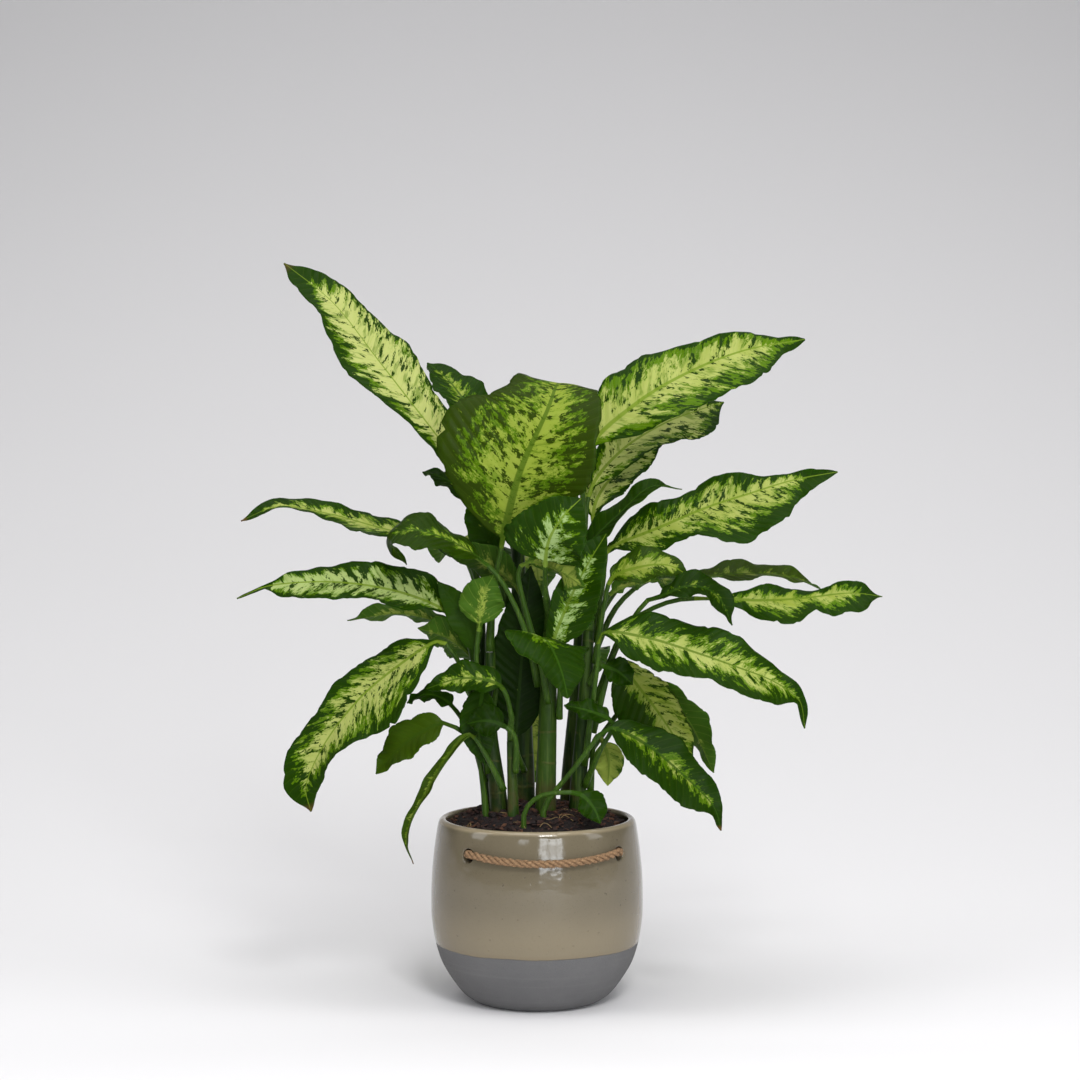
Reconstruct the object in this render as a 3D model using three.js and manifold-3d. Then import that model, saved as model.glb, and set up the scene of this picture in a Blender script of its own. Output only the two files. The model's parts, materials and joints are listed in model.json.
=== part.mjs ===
// A potted dieffenbachia: a round glazed pot with a rope handle, soil, canes and leaves.
// Millimetres, +Z up. The origin is the middle of the pot's flat foot and -Y is the front.
import * as THREE from "three";
import { mergeVertices } from "three/addons/utils/BufferGeometryUtils.js";
import Module from "manifold-3d";

const wasm = await Module();
wasm.setup();

// ---------------------------------------------------------------- driving dimensions

const GAP = 0.3; // clear space between pieces that touch

const POT = {
  sides: 40,
  // outer profile from the foot to the lip: [radius, height]
  outer: [
    [52, 0],
    [63, 2.5],
    [71.5, 9],
    [82, 23],
    [90.5, 38],
    [96, 56],
    [99.3, 76],
    [100, 93],
    [99.4, 118],
    [97.4, 140],
    [95, 158],
    [93.4, 167],
  ],
  lip: [
    [91.6, 171],
    [88.6, 172.4],
    [85.8, 170.4],
  ],
  // inner profile from the lip down to the middle of the floor
  inner: [
    [86.6, 160],
    [91.4, 118],
    [92, 93],
    [88, 56],
    [76, 28],
    [58, 12],
  ],
  floor: 10,
};

const HOLE = { radius: 6.4, height: 148, left: -41, right: 52 }; // degrees round from the front

const ROPE = { radius: 3.7, sides: 6, height: 149.6, sag: 5, knot: 9, knotAt: 78 };

const SOIL = { sides: 28, wall: 1, edge: 162, crown: 184, pocket: 10.6 };

const LEAF = { thickness: 1.1, petiole: 2.3, rib: 2.6, tipWidth: 0.9 };

// ---------------------------------------------------------------- small helpers

const v = (p) => new THREE.Vector3(p[0], p[1], p[2]);
const mix = (a, b, t) => a + (b - a) * t;

// A point at a radius and a turn from the front, seen from above.
function around(radius, degrees, height) {
  const a = THREE.MathUtils.degToRad(degrees);
  return new THREE.Vector3(radius * Math.sin(a), -radius * Math.cos(a), height);
}

// The point at place s on a smooth curve through the points; whole numbers are the points.
function onCurve(points, s) {
  const last = points.length - 1;
  const i = Math.min(Math.max(Math.floor(s), 0), last - 1);
  const t = s - i;
  const p1 = points[i];
  const p2 = points[i + 1];
  const p0 = i > 0 ? points[i - 1] : p1.clone().multiplyScalar(2).sub(p2);
  const p3 = i < last - 1 ? points[i + 2] : p2.clone().multiplyScalar(2).sub(p1);
  const out = new THREE.Vector3();
  for (const k of ["x", "y", "z"]) {
    const m1 = (p2[k] - p0[k]) / 2;
    const m2 = (p3[k] - p1[k]) / 2;
    const d = p2[k] - p1[k];
    out[k] = p1[k] + t * (m1 + t * (3 * d - 2 * m1 - m2 + t * (m1 + m2 - 2 * d)));
  }
  return out;
}

function direction(points, s) {
  const last = points.length - 1;
  const a = onCurve(points, Math.max(s - 0.02, 0));
  const b = onCurve(points, Math.min(s + 0.02, last));
  return b.sub(a).normalize();
}

// Places on the curve that are evenly spaced in length between two of its points.
function evenPlaces(points, from, to, count) {
  const steps = 80;
  const lengths = [0];
  let before = onCurve(points, from);
  for (let i = 1; i <= steps; i++) {
    const here = onCurve(points, mix(from, to, i / steps));
    lengths.push(lengths[i - 1] + here.distanceTo(before));
    before = here;
  }
  const places = [];
  let k = 0;
  for (let j = 0; j <= count; j++) {
    const want = (lengths[steps] * j) / count;
    while (k < steps - 1 && lengths[k + 1] < want) k++;
    const share = (want - lengths[k]) / (lengths[k + 1] - lengths[k]);
    places.push(mix(from, to, (k + share) / steps));
  }
  return places;
}

// A closed body through rings of points, all of the same count, with a flat end on each side.
// The quads under the blade are split the same way as the quads above it.
function loft(rings) {
  const n = rings[0].length;
  const positions = [];
  const index = [];
  for (const ring of rings) {
    for (const p of ring) positions.push(p.x, p.y, p.z);
  }
  for (let r = 0; r < rings.length - 1; r++) {
    for (let k = 0; k < n; k++) {
      const a = r * n + k;
      const b = r * n + ((k + 1) % n);
      const c = a + n;
      const d = b + n;
      if (k < n / 2) index.push(a, b, d, a, d, c);
      else index.push(a, b, c, b, d, c);
    }
  }
  const end = (rings.length - 1) * n;
  for (let k = 1; k < n - 1; k++) {
    index.push(0, k + 1, k);
    index.push(end, end + k, end + k + 1);
  }
  const geometry = new THREE.BufferGeometry();
  geometry.setAttribute("position", new THREE.Float32BufferAttribute(positions, 3));
  geometry.setIndex(index);
  return geometry;
}

function toSolid(geometry) {
  const g = geometry.clone();
  g.deleteAttribute("normal");
  g.deleteAttribute("uv");
  const merged = mergeVertices(g, 1e-4);
  return new wasm.Manifold(
    new wasm.Mesh({
      numProp: 3,
      vertProperties: new Float32Array(merged.attributes.position.array),
      triVerts: new Uint32Array(merged.index.array),
    }),
  );
}

function toGeometry(solid) {
  const mesh = solid.getMesh();
  const geometry = new THREE.BufferGeometry();
  geometry.setAttribute("position", new THREE.BufferAttribute(new Float32Array(mesh.vertProperties), 3));
  geometry.setIndex(new THREE.BufferAttribute(new Uint32Array(mesh.triVerts), 1));
  return geometry;
}

// A round bar between two points.
function bar(from, to, radius, sides) {
  const along = to.clone().sub(from);
  const geometry = new THREE.CylinderGeometry(radius, radius, along.length(), sides);
  const turn = new THREE.Quaternion();
  turn.setFromUnitVectors(new THREE.Vector3(0, 1, 0), along.clone().normalize());
  geometry.applyQuaternion(turn);
  geometry.translate(...from.clone().add(to).multiplyScalar(0.5).toArray());
  return geometry;
}

// A round tube through the points; radius is a number or a list with one value per point.
function tube(path, radius, sides, steps) {
  const points = path.map((p) => (Array.isArray(p) ? v(p) : p));
  const last = points.length - 1;
  const rings = [];
  let side = null;
  for (let i = 0; i <= steps; i++) {
    const s = (last * i) / steps;
    const centre = onCurve(points, s);
    const along = direction(points, s);
    if (!side) side = new THREE.Vector3(Math.abs(along.x) < 0.8 ? 1 : 0, Math.abs(along.x) < 0.8 ? 0 : 1, 0);
    side = side.clone().addScaledVector(along, -side.dot(along)).normalize();
    const up = along.clone().cross(side);
    const at = Math.min(Math.floor(s), last - 1);
    const r = Array.isArray(radius) ? mix(radius[at], radius[at + 1], s - at) : radius;
    const ring = [];
    for (let k = 0; k < sides; k++) {
      const a = (2 * Math.PI * k) / sides;
      ring.push(centre.clone().addScaledVector(side, r * Math.cos(a)).addScaledVector(up, r * Math.sin(a)));
    }
    rings.push(ring);
  }
  return loft(rings);
}

const plant = new THREE.Group();
plant.name = "potted_dieffenbachia";

function add(name, geometry) {
  const mesh = new THREE.Mesh(geometry, new THREE.MeshStandardMaterial());
  mesh.name = name;
  plant.add(mesh);
}

// ---------------------------------------------------------------- pot

function potSolid() {
  const profile = [[0, 0], ...POT.outer, ...POT.lip, ...POT.inner, [0, POT.floor]];
  const points = profile.map((p) => new THREE.Vector2(p[0], p[1]));
  const lathe = new THREE.LatheGeometry(points, POT.sides);
  lathe.rotateX(Math.PI / 2);
  let solid = toSolid(lathe);
  for (const turn of [HOLE.left, HOLE.right]) {
    const hole = bar(around(70, turn, HOLE.height), around(115, turn, HOLE.height), HOLE.radius, 12);
    solid = solid.subtract(toSolid(hole));
  }
  return solid;
}

// The radius of a profile at a height, between its two nearest points.
function radiusAt(profile, height) {
  const rows = [...profile].sort((a, b) => a[1] - b[1]);
  for (let i = 0; i < rows.length - 1; i++) {
    const [low, high] = [rows[i], rows[i + 1]];
    if (height >= low[1] && height <= high[1]) {
      return mix(low[0], high[0], (height - low[1]) / (high[1] - low[1]));
    }
  }
  return rows[rows.length - 1][0];
}

// ---------------------------------------------------------------- rope

// The rope leaves a knot inside the pot, passes a hole and lies along the front wall.
function ropePath() {
  const wall = (height) => radiusAt(POT.outer, height) + ROPE.radius + 0.7;
  const path = [around(ROPE.knotAt, HOLE.left, ROPE.height), around(90, HOLE.left, ROPE.height)];
  path.push(around(97.5, HOLE.left + 0.4, ROPE.height));
  const from = HOLE.left + 5;
  const to = HOLE.right - 5;
  const count = 10;
  for (let i = 0; i <= count; i++) {
    const t = i / count;
    const height = ROPE.height + 0.4 - ROPE.sag * (1 - (2 * t - 1) ** 2);
    path.push(around(wall(height), mix(from, to, t), height));
  }
  path.push(around(97.5, HOLE.right - 0.4, ROPE.height));
  path.push(around(90, HOLE.right, ROPE.height), around(ROPE.knotAt, HOLE.right, ROPE.height));
  return path;
}

function ropeSolid() {
  const path = ropePath();
  let solid = toSolid(tube(path, ROPE.radius, ROPE.sides, (path.length - 1) * 2));
  for (const turn of [HOLE.left, HOLE.right]) {
    const knot = new THREE.SphereGeometry(ROPE.knot, 8, 5);
    knot.scale(1, 1, 0.8);
    knot.translate(...around(ROPE.knotAt - 5, turn, HOLE.height).toArray());
    solid = solid.add(toSolid(knot));
  }
  return solid;
}

// ---------------------------------------------------------------- canes

// Each cane: its points from inside the soil to the top, and its radius at every point.
const CANES = {
  cane_main: { path: [[8, -28, 120], [8, -28, 190], [10, -30, 270], [12, -28, 350]], r: [10.5, 10, 8.5, 6.5] },
  cane_left: { path: [[-34, -22, 120], [-36, -22, 190], [-44, -20, 260], [-44, -16, 330]], r: [9, 8.5, 6.5, 5] },
  cane_left_front: { path: [[-22, -46, 125], [-22, -46, 180], [-24, -44, 250]], r: [6, 5.5, 4] },
  cane_back: { path: [[-12, 22, 120], [-12, 22, 200], [-16, 20, 320], [-18, 14, 430]], r: [10.5, 10, 8.5, 6] },
  cane_back_right: { path: [[30, 26, 120], [32, 26, 200], [40, 22, 300], [44, 18, 410]], r: [10, 9.5, 8, 5.5] },
  cane_right: { path: [[38, -14, 120], [38, -14, 190], [44, -14, 270], [48, -14, 350]], r: [8.5, 8, 7, 5.5] },
  cane_back_left: { path: [[-44, 22, 120], [-46, 22, 190], [-52, 22, 280], [-54, 20, 370]], r: [8, 7.5, 6, 4.5] },
};

// ---------------------------------------------------------------- leaves

// The half width of a blade along its length, as a share of the widest place.
function outline(t, widest) {
  const bend = Math.log(0.5) / Math.log(widest);
  const belly = Math.sin(Math.PI * Math.min(t, 1) ** bend);
  return Math.max(belly, 0) ** 0.68 * (1 - 0.45 * t ** 7);
}

// The radius of the lower end of a stalk.
function footRadius(leaf) {
  const onTop = leaf.on && !leaf.at;
  return leaf.foot ?? (onTop ? CANES[leaf.on].r.at(-1) * 0.94 : 3.4);
}

// The first point of a stalk: just clear of the top of its cane, or of the side of its cane
// at a height and a turn from the front. A shoot has its own points down into the soil.
function footOf(leaf) {
  if (leaf.shoot) return [];
  const path = CANES[leaf.on].path.map(v);
  if (!leaf.at) {
    const last = path.length - 1;
    const along = direction(path, last);
    return [GAP + 0.1, 14].map((rise) => path[last].clone().addScaledVector(along, rise));
  }
  let i = 0;
  while (i < path.length - 2 && path[i + 1].z < leaf.at) i++;
  let [low, high] = [i, i + 1];
  for (let n = 0; n < 20; n++) {
    const middle = (low + high) / 2;
    if (onCurve(path, middle).z < leaf.at) low = middle;
    else high = middle;
  }
  const radius = mix(CANES[leaf.on].r[i], CANES[leaf.on].r[i + 1], low - i);
  return [onCurve(path, low).add(around(radius + footRadius(leaf) + GAP + 0.1, leaf.turn, 0))];
}

// A petiole and its blade as one closed body.
//   on: the cane it grows from, at its top or at a height and a turn round from the front
//   stalk: points of the petiole after its foot, up to the start of the blade
//   rib: points of the midrib, from the start of the blade to the tip
//   half: half width; face: the way the upper side looks at the start and at the tip
//   fold: degrees each half is lifted; curl: how far the edges bend down
//   lean: share by which the right half is wider than the left one
//   wave: [height, number, phase] of the waves along the edges
/** The share of its width that one side of a blade keeps at t; u is below 0 on the left side. */
function sideShare(trim, t, u) {
  const column = u < 0 ? 1 : 2;
  const i = Math.max(trim.findIndex((row) => row[0] >= t), 1);
  const [a, b] = [trim[i - 1], trim[i]];
  return mix(a[column], b[column], (t - a[0]) / (b[0] - a[0]));
}

function leafGeometry(leaf) {
  const stalk = [...footOf(leaf), ...leaf.stalk.map(v)];
  const points = [...stalk, ...leaf.rib.map(v)];
  const first = stalk.length;
  const last = points.length - 1;
  const faceStart = v(leaf.face);
  const faceTip = v(leaf.tipFace ?? leaf.face);
  const widest = leaf.widest ?? 0.42;
  const fold = THREE.MathUtils.degToRad(leaf.fold ?? 12);
  const [height, number, phase] = leaf.wave ?? [3, 2.5, 0];
  const thick = LEAF.thickness / 2;
  const foot = footRadius(leaf);
  const lean = leaf.lean ?? 0;
  const trim = leaf.trim ?? [[0, 1, 1], [1, 1, 1]];
  const rings = [];
  const frame = (s, t) => {
    const along = direction(points, s);
    const up = faceStart.clone().lerp(faceTip, t);
    up.addScaledVector(along, -up.dot(along)).normalize();
    return { centre: onCurve(points, s), up, side: along.clone().cross(up) };
  };
  const stalkRings = leaf.stalkRings ?? 3;
  const stalkPlaces = evenPlaces(points, 0, first, stalkRings);
  for (let i = 0; i < stalkRings; i++) {
    const { centre, up, side } = frame(stalkPlaces[i], 0);
    const radius = mix(foot, LEAF.petiole, Math.min((1.6 * i) / stalkRings, 1));
    const ring = [];
    for (let k = 0; k < 10; k++) {
      const a = THREE.MathUtils.degToRad(162 - 36 * k);
      const p = centre.clone().addScaledVector(side, radius * Math.cos(a));
      ring.push(p.addScaledVector(up, radius * Math.sin(a)));
    }
    rings.push(ring);
  }
  const bladeRings = leaf.rings ?? 9;
  const bladePlaces = evenPlaces(points, first, last, bladeRings);
  for (let i = 0; i <= bladeRings; i++) {
    const t = i / bladeRings;
    const { centre, up, side } = frame(bladePlaces[i], t);
    const half = Math.max(leaf.half * outline(t, widest), mix(LEAF.petiole + 0.6, LEAF.tipWidth, t));
    const rib = LEAF.rib * (1 - t) ** 1.2;
    const top = [];
    const under = [];
    for (let j = -2; j <= 2; j++) {
      const u = j / 2;
      const edge = Math.abs(u);
      const turn = 2 * Math.PI * number * t + phase + (u < 0 ? 2.2 : 0);
      const lift =
        half * edge * Math.sin(fold) - (leaf.curl ?? 0) * half * edge * edge + height * edge * edge * Math.sin(turn);
      const share = Math.min(half / (0.4 * leaf.half), 1);
      const reach = u * half * Math.cos(fold) * (1 + lean * Math.sign(u)) * sideShare(trim, t, u);
      const p = centre.clone().addScaledVector(side, reach).addScaledVector(up, lift * share);
      top.push(p.clone().addScaledVector(up, thick + (j === 0 ? 0.25 * rib : 0)));
      under.unshift(p.clone().addScaledVector(up, -thick - (j === 0 ? rib : 0)));
    }
    rings.push([...top, ...under]);
  }
  return loft(rings);
}

const LEAVES = {
  // top leaves
  leaf_top_left: {
    on: "cane_back",
    stalk: [[-38, 8, 480]],
    rib: [[-70, 6, 502], [-107, 12, 548], [-151, 24, 604], [-193, 36, 657], [-241, 45, 696]],
    half: 35, face: [0.45, -0.8, 0.45], fold: 8, wave: [4, 2.5, 0.5], rings: 12,
    trim: [[0, 1, 1], [0.12, 0.55, 1], [0.22, 0.6, 0.95], [0.3, 0.85, 0.9], [0.4, 1, 0.92], [0.5, 1.12, 1], [0.6, 1.18, 0.9],
      [0.7, 1.2, 1], [0.8, 1.1, 1], [0.9, 1.3, 1.2], [0.95, 1.7, 1.5], [1, 1, 1]],
  },
  leaf_top_behind: {
    on: "cane_back", at: 400, turn: 180,
    stalk: [[-34, 46, 480]],
    rib: [[-52, 56, 535], [-82, 92, 580], [-108, 125, 603]],
    half: 27, face: [0.2, -0.5, 0.85], rings: 8,
  },
  leaf_front_large: {
    on: "cane_left",
    stalk: [[-40, -26, 390]],
    rib: [[-31, -40, 438], [-16, -50, 498], [9, -42, 554], [20, -8, 581], [30, 40, 566]],
    half: 78, lean: -0.12, face: [-0.05, -0.98, 0.1], tipFace: [0, -0.2, 1], widest: 0.48, fold: 3,
    wave: [5, 2, 1], rings: 14,
    trim: [[0, 1, 1], [0.3, 1.08, 1.02], [0.4, 1, 1], [0.5, 0.9, 0.9], [0.6, 0.74, 0.78], [0.7, 0.64, 0.72], [0.8, 0.76, 0.64],
      [0.9, 0.9, 0.8], [1, 1, 1]],
  },
  leaf_top_right: {
    on: "cane_back_right",
    stalk: [[43, 12, 460]],
    rib: [[48, 8, 518], [92, 14, 561], [142, 28, 591], [198, 46, 613], [257, 60, 624]],
    half: 37, face: [-0.35, -0.85, 0.45], fold: 8, wave: [4, 2.5, 2], rings: 12, widest: 0.56,
    trim: [[0, 1, 1], [0.1, 1.6, 1.4], [0.2, 1.8, 1.45], [0.3, 1.35, 1.4], [0.4, 1.25, 1.4], [0.5, 0.9, 1.2], [0.6, 0.6, 1.1],
      [0.7, 0.7, 1.3], [0.8, 0.8, 1.35], [0.9, 0.45, 0.9], [1, 1, 1]],
  },
  leaf_right_second: {
    on: "cane_back_right", at: 370, turn: 168,
    stalk: [[46, 36, 440]],
    rib: [[52, 44, 482], [82, 54, 518], [122, 66, 543], [156, 76, 556], [181, 82, 564]],
    half: 29, face: [-0.35, -0.8, 0.45], wave: [3, 2, 3], widest: 0.55, rings: 10,
    trim: [[0, 1, 1.3], [0.3, 1, 1.1], [0.5, 1, 0.9], [0.65, 1, 1.1], [0.8, 1, 1.8], [0.9, 1, 2.3], [1, 1, 1]],
  },
  leaf_right_third: {
    on: "cane_back_right", at: 350, turn: 145,
    stalk: [[59, 42, 410]],
    rib: [[54, 54, 455], [66, 64, 484], [92, 74, 508], [126, 84, 531]],
    half: 25, face: [-0.4, -0.8, 0.3], rings: 7,
  },
  // left side, from the top down
  leaf_left_back_small: {
    on: "cane_back", at: 370, turn: -110,
    stalk: [[-46, 24, 430]],
    rib: [[-62, 32, 470], [-88, 46, 490], [-110, 58, 497]],
    half: 18, face: [0.2, -0.5, 0.8], rings: 7,
  },
  leaf_left_far: {
    on: "cane_back_left",
    stalk: [[-66, 16, 415]],
    rib: [[-108, 6, 434], [-150, -2, 446], [-196, -8, 459], [-240, -14, 466], [-276, -18, 453]],
    half: 21, face: [0.1, -0.35, 0.93], rings: 10,
    trim: [[0, 1, 1], [0.2, 1, 1.25], [0.3, 1.9, 1.3], [0.4, 1.9, 0.8], [0.5, 1, 0.65], [0.6, 0.6, 1.05], [0.7, 1, 1.4], [1, 1, 1]],
  },
  leaf_left_curled: {
    on: "cane_main", at: 300, turn: -60,
    stalk: [[-10, -44, 350], [-31, -46, 396]],
    rib: [[-54, -48, 420], [-85, -54, 438], [-116, -56, 446], [-134, -54, 436], [-120, -50, 414]],
    half: 30, face: [0.1, -0.3, 0.95], tipFace: [-1, -0.3, 0.2], curl: 0.2,
  },
  leaf_left_mid: {
    on: "cane_left", at: 296, turn: -90,
    stalk: [[-66, -20, 345]],
    rib: [[-86, -22, 369], [-130, -24, 387], [-188, -26, 396], [-246, -28, 393], [-279, -28, 381]],
    half: 27, face: [0.05, -0.65, 0.75], wave: [4, 3, 0], rings: 13,
    trim: [[0, 1, 1], [0.1, 0.6, 1.7], [0.2, 1.15, 1.5], [0.3, 1.1, 1.2], [0.4, 0.75, 0.85], [0.5, 0.9, 0.8], [0.6, 1.3, 0.8],
      [0.7, 1.3, 0.5], [0.8, 0.9, 0.2], [0.86, 0.3, 0.2], [1, 1, 1]],
  },
  leaf_left_under: {
    on: "cane_back_left", at: 290, turn: -95,
    stalk: [[-70, 22, 330]],
    rib: [[-84, 22, 352], [-128, 22, 364], [-180, 18, 357]],
    half: 20, face: [0.05, 0.5, 0.85], rings: 8,
  },
  leaf_lower_left: {
    on: "cane_left", at: 250, turn: -80,
    stalk: [[-64, -24, 300], [-78, -28, 330]],
    rib: [[-93, -32, 341], [-127, -36, 320], [-163, -42, 290], [-194, -50, 251], [-212, -58, 212], [-208, -62, 187]],
    half: 36, face: [-0.45, -0.65, 0.6], wave: [4.5, 2.5, 1], rings: 13, widest: 0.56,
    trim: [[0, 1, 1], [0.1, 1.8, 1.7], [0.2, 2, 1.5], [0.3, 2.2, 1.1], [0.4, 2, 0.84], [0.5, 1.45, 0.8], [0.6, 1.15, 0.86],
      [0.7, 1, 1.05], [0.8, 0.9, 1.15], [0.9, 1, 1.5], [1, 1, 1]],
  },
  leaf_left_olive: {
    on: "cane_back_left", at: 250, turn: -40,
    stalk: [[-56, 2, 300]],
    rib: [[-60, -4, 322], [-82, -6, 342], [-112, -6, 352]],
    half: 25, face: [0.2, 0.75, 0.6], rings: 8,
  },
  leaf_left_striped: {
    on: "cane_left_front",
    stalk: [[-24, -48, 275]],
    rib: [[-34, -52, 302], [-68, -52, 309], [-102, -48, 299]],
    half: 17, face: [0, -0.8, 0.6], rings: 8,
  },
  leaf_left_pale: {
    on: "cane_left", at: 275, turn: -20,
    stalk: [[-56, -41, 322]],
    rib: [[-53, -44, 359], [-50, -44, 384], [-40, -41, 404]],
    half: 22, face: [0, 0.95, -0.3], rings: 8,
  },
  leaf_left_green: {
    on: "cane_left", at: 218, turn: -35,
    stalk: [[-57, -29, 285]],
    rib: [[-59, -28, 334], [-68, -28, 365], [-92, -28, 397]],
    half: 16, face: [-0.3, -0.9, 0.2], rings: 7, wave: [2, 2, 0],
  },
  leaf_left_upright: {
    on: "cane_back", at: 400, turn: -60,
    stalk: [[-32, 2, 404]],
    rib: [[-38, -2, 418], [-50, 0, 444], [-64, 4, 474]],
    half: 17, face: [-0.4, -0.85, 0.2], rings: 7,
  },
  leaf_left_dark_small: {
    on: "cane_left", at: 208, turn: -115,
    stalk: [[-62, -20, 252]],
    rib: [[-80, -18, 280], [-102, -16, 290], [-122, -12, 282]],
    half: 12, face: [0, -0.5, 0.85], rings: 7,
  },
  leaf_left_plain: {
    shoot: true, foot: 4.6,
    stalk: [[-48, -30, 132], [-48, -30, 170], [-49, -31, 196], [-57, -36, 245], [-72, -38, 259]],
    rib: [[-87, -38, 266], [-119, -42, 250], [-149, -48, 220]],
    half: 21, face: [-0.45, -0.75, 0.5], stalkRings: 6, rings: 8,
  },
  leaf_left_hanging: {
    on: "cane_left_front", at: 205, turn: -70,
    stalk: [[-46, -54, 236]],
    rib: [[-62, -56, 257], [-83, -58, 235], [-100, -60, 207], [-115, -62, 180], [-120, -60, 158], [-114, -58, 138]],
    half: 9, face: [-0.7, -0.6, 0.4], fold: 34, wave: [1.5, 3, 0], trim: [[0, 1, 0.9], [0.5, 1.1, 0.7], [1, 1, 0.9]],
  },
  // middle
  leaf_centre_up: {
    on: "cane_main",
    stalk: [[8, -44, 388]],
    rib: [[8, -66, 419], [12, -80, 440], [24, -88, 460], [40, -84, 476]],
    half: 40, face: [-0.1, -0.9, 0.35], rings: 9,
    trim: [[0, 1.5, 1], [0.2, 1.3, 1.1], [0.4, 0.9, 1], [0.6, 0.75, 1], [0.8, 0.7, 1], [1, 1, 1]],
  },
  leaf_centre_olive: {
    on: "cane_main", at: 325, turn: -60,
    stalk: [[-14, -37, 385], [-17, -41, 408]],
    rib: [[-8, -44, 416], [8, -50, 415], [25, -69, 407], [44, -82, 395]],
    half: 21, face: [0, 0.85, 0.5], rings: 7, stalkRings: 4, fold: 5, wave: [1.5, 2, 0],
    trim: [[0, 0.6, 0.6], [0.3, 0.4, 0.7], [0.5, 0.55, 1.1], [0.65, 1, 1.1], [1, 1, 1]],
  },
  leaf_centre_dark: {
    on: "cane_main", at: 270, turn: 60,
    stalk: [[21, -47, 310]],
    rib: [[15, -50, 338], [26, -48, 371], [44, -47, 409], [64, -44, 442]],
    half: 33, face: [-0.35, -0.9, 0.2], wave: [3, 2, 1],
    trim: [[0, 0.6, 1], [0.25, 0.4, 1], [0.5, 0.48, 0.95], [0.65, 0.55, 0.9], [0.8, 0.8, 0.85], [1, 1, 1]],
  },
  leaf_front_down: {
    on: "cane_main", at: 285, turn: 0,
    stalk: [[3, -56, 328]],
    rib: [[4, -72, 348], [12, -91, 342], [22, -100, 320], [28, -102, 296]],
    half: 47, face: [0.3, 0, 1], tipFace: [0.2, -0.98, 0.2], widest: 0.32, curl: 0.32,
    trim: [[0, 1, 1], [0.1, 1, 1.1], [0.2, 1, 0.85], [0.35, 1, 0.6], [0.5, 0.9, 0.45], [0.7, 0.8, 0.4], [0.9, 0.8, 0.5], [1, 1, 1]],
  },
  leaf_centre_small: {
    on: "cane_left_front", at: 222, turn: 25,
    stalk: [[-20, -60, 255]],
    rib: [[-32, -62, 267], [-48, -62, 271], [-64, -60, 268]],
    half: 16, face: [-0.2, -0.9, 0.3], rings: 7,
  },
  leaf_centre_hanging: {
    on: "cane_left", at: 280, turn: 20,
    stalk: [[-38, -36, 300], [-40, -42, 305]],
    rib: [[-49, -47, 299], [-54, -47, 262], [-48, -47, 228]],
    half: 18, face: [0, -0.4, 1], tipFace: [0, -1, 0.1], rings: 7, stalkRings: 4, fold: 4, wave: [1, 2, 0],
  },
  leaf_middle_left: {
    on: "cane_main", at: 310, turn: -100,
    stalk: [[-12, -22, 370]],
    rib: [[-19, -16, 391], [-38, -15, 408], [-62, -16, 421], [-88, -18, 425]],
    half: 21, face: [0, 0.75, 0.65], rings: 7, fold: 6, wave: [2, 2, 1],
  },
  leaf_middle_dark: {
    on: "cane_back", at: 215, turn: 0,
    stalk: [[-18, -2, 232]],
    rib: [[-20, -5, 250], [-17, -5, 290], [-12, -5, 350], [-6, -4, 410]],
    half: 29, face: [0, -1, 0.1], rings: 7, fold: 0, wave: [1, 2, 0],
  },
  leaf_over_soil: {
    shoot: true, foot: 2.6,
    stalk: [[-12, -66, 140], [-12, -66, 168], [-11, -66, 188], [2, -68, 202], [24, -70, 206]],
    rib: [[40, -70, 204], [52, -72, 192], [58, -74, 178]],
    half: 14, face: [0, -0.9, 0.4], stalkRings: 6, rings: 7,
  },
  // right side, from the top down
  leaf_right_narrow: {
    on: "cane_right",
    stalk: [[41, -17, 388]],
    rib: [[39, -16, 408], [52, -15, 434], [79, -12, 461], [106, -8, 484], [136, 0, 482]],
    half: 17, face: [-0.5, -0.45, 0.75], rings: 8,
  },
  leaf_right_long: {
    on: "cane_back_right", at: 345, turn: 90,
    stalk: [[62, 6, 392], [64, 4, 412]],
    rib: [[70, 2, 427], [115, -3, 446], [160, -4, 465], [200, -3, 478], [240, 2, 490], [283, 8, 498]],
    half: 33, face: [-0.25, -0.8, 0.55], widest: 0.55, wave: [4, 3, 1], rings: 13,
    trim: [[0, 2.2, 1.8], [0.08, 2, 1.7], [0.16, 1.6, 1.5], [0.25, 1, 1.1], [0.34, 0.7, 1.1], [0.44, 0.85, 1.5], [0.53, 0.8, 1.7],
      [0.63, 0.55, 1.6], [0.72, 0.4, 1.6], [0.81, 0.35, 1.1], [0.91, 0.3, 0.9], [1, 1, 1]],
  },
  leaf_right_curled: {
    on: "cane_right", at: 320, turn: 50,
    stalk: [[62, -26, 372]],
    rib: [[70, -30, 400], [98, -32, 411], [122, -32, 412], [140, -30, 403]],
    half: 19, face: [0, -0.8, 0.6], wave: [3, 2, 0], rings: 8,
  },
  leaf_right_small: {
    on: "cane_right", at: 338, turn: 125,
    stalk: [[60, -6, 369]],
    rib: [[71, -6, 386], [89, -4, 393], [115, 0, 397]],
    half: 12, face: [0, 0.6, 0.8], rings: 7,
  },
  leaf_right_thin_back: {
    on: "cane_back_right", at: 315, turn: 120,
    stalk: [[76, 44, 368], [112, 56, 395]],
    rib: [[148, 66, 395], [200, 84, 397], [246, 100, 394], [284, 116, 378]],
    half: 22, face: [0, -0.35, 0.93],
  },
  leaf_right_bright: {
    on: "cane_right", at: 285, turn: 95,
    stalk: [[82, -10, 350], [120, -16, 376]],
    rib: [[160, -22, 381], [205, -28, 379], [245, -30, 381], [290, -30, 386], [321, -28, 383]],
    half: 20, face: [0, -0.7, 0.7], wave: [6, 2, 2], rings: 13, widest: 0.55,
    trim: [[0, 1, 1], [0.2, 0.7, 0.8], [0.3, 0.75, 1.5], [0.4, 0.85, 2], [0.5, 0.65, 1.9], [0.6, 0.5, 0.9], [0.7, 0.3, 1.4],
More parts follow.
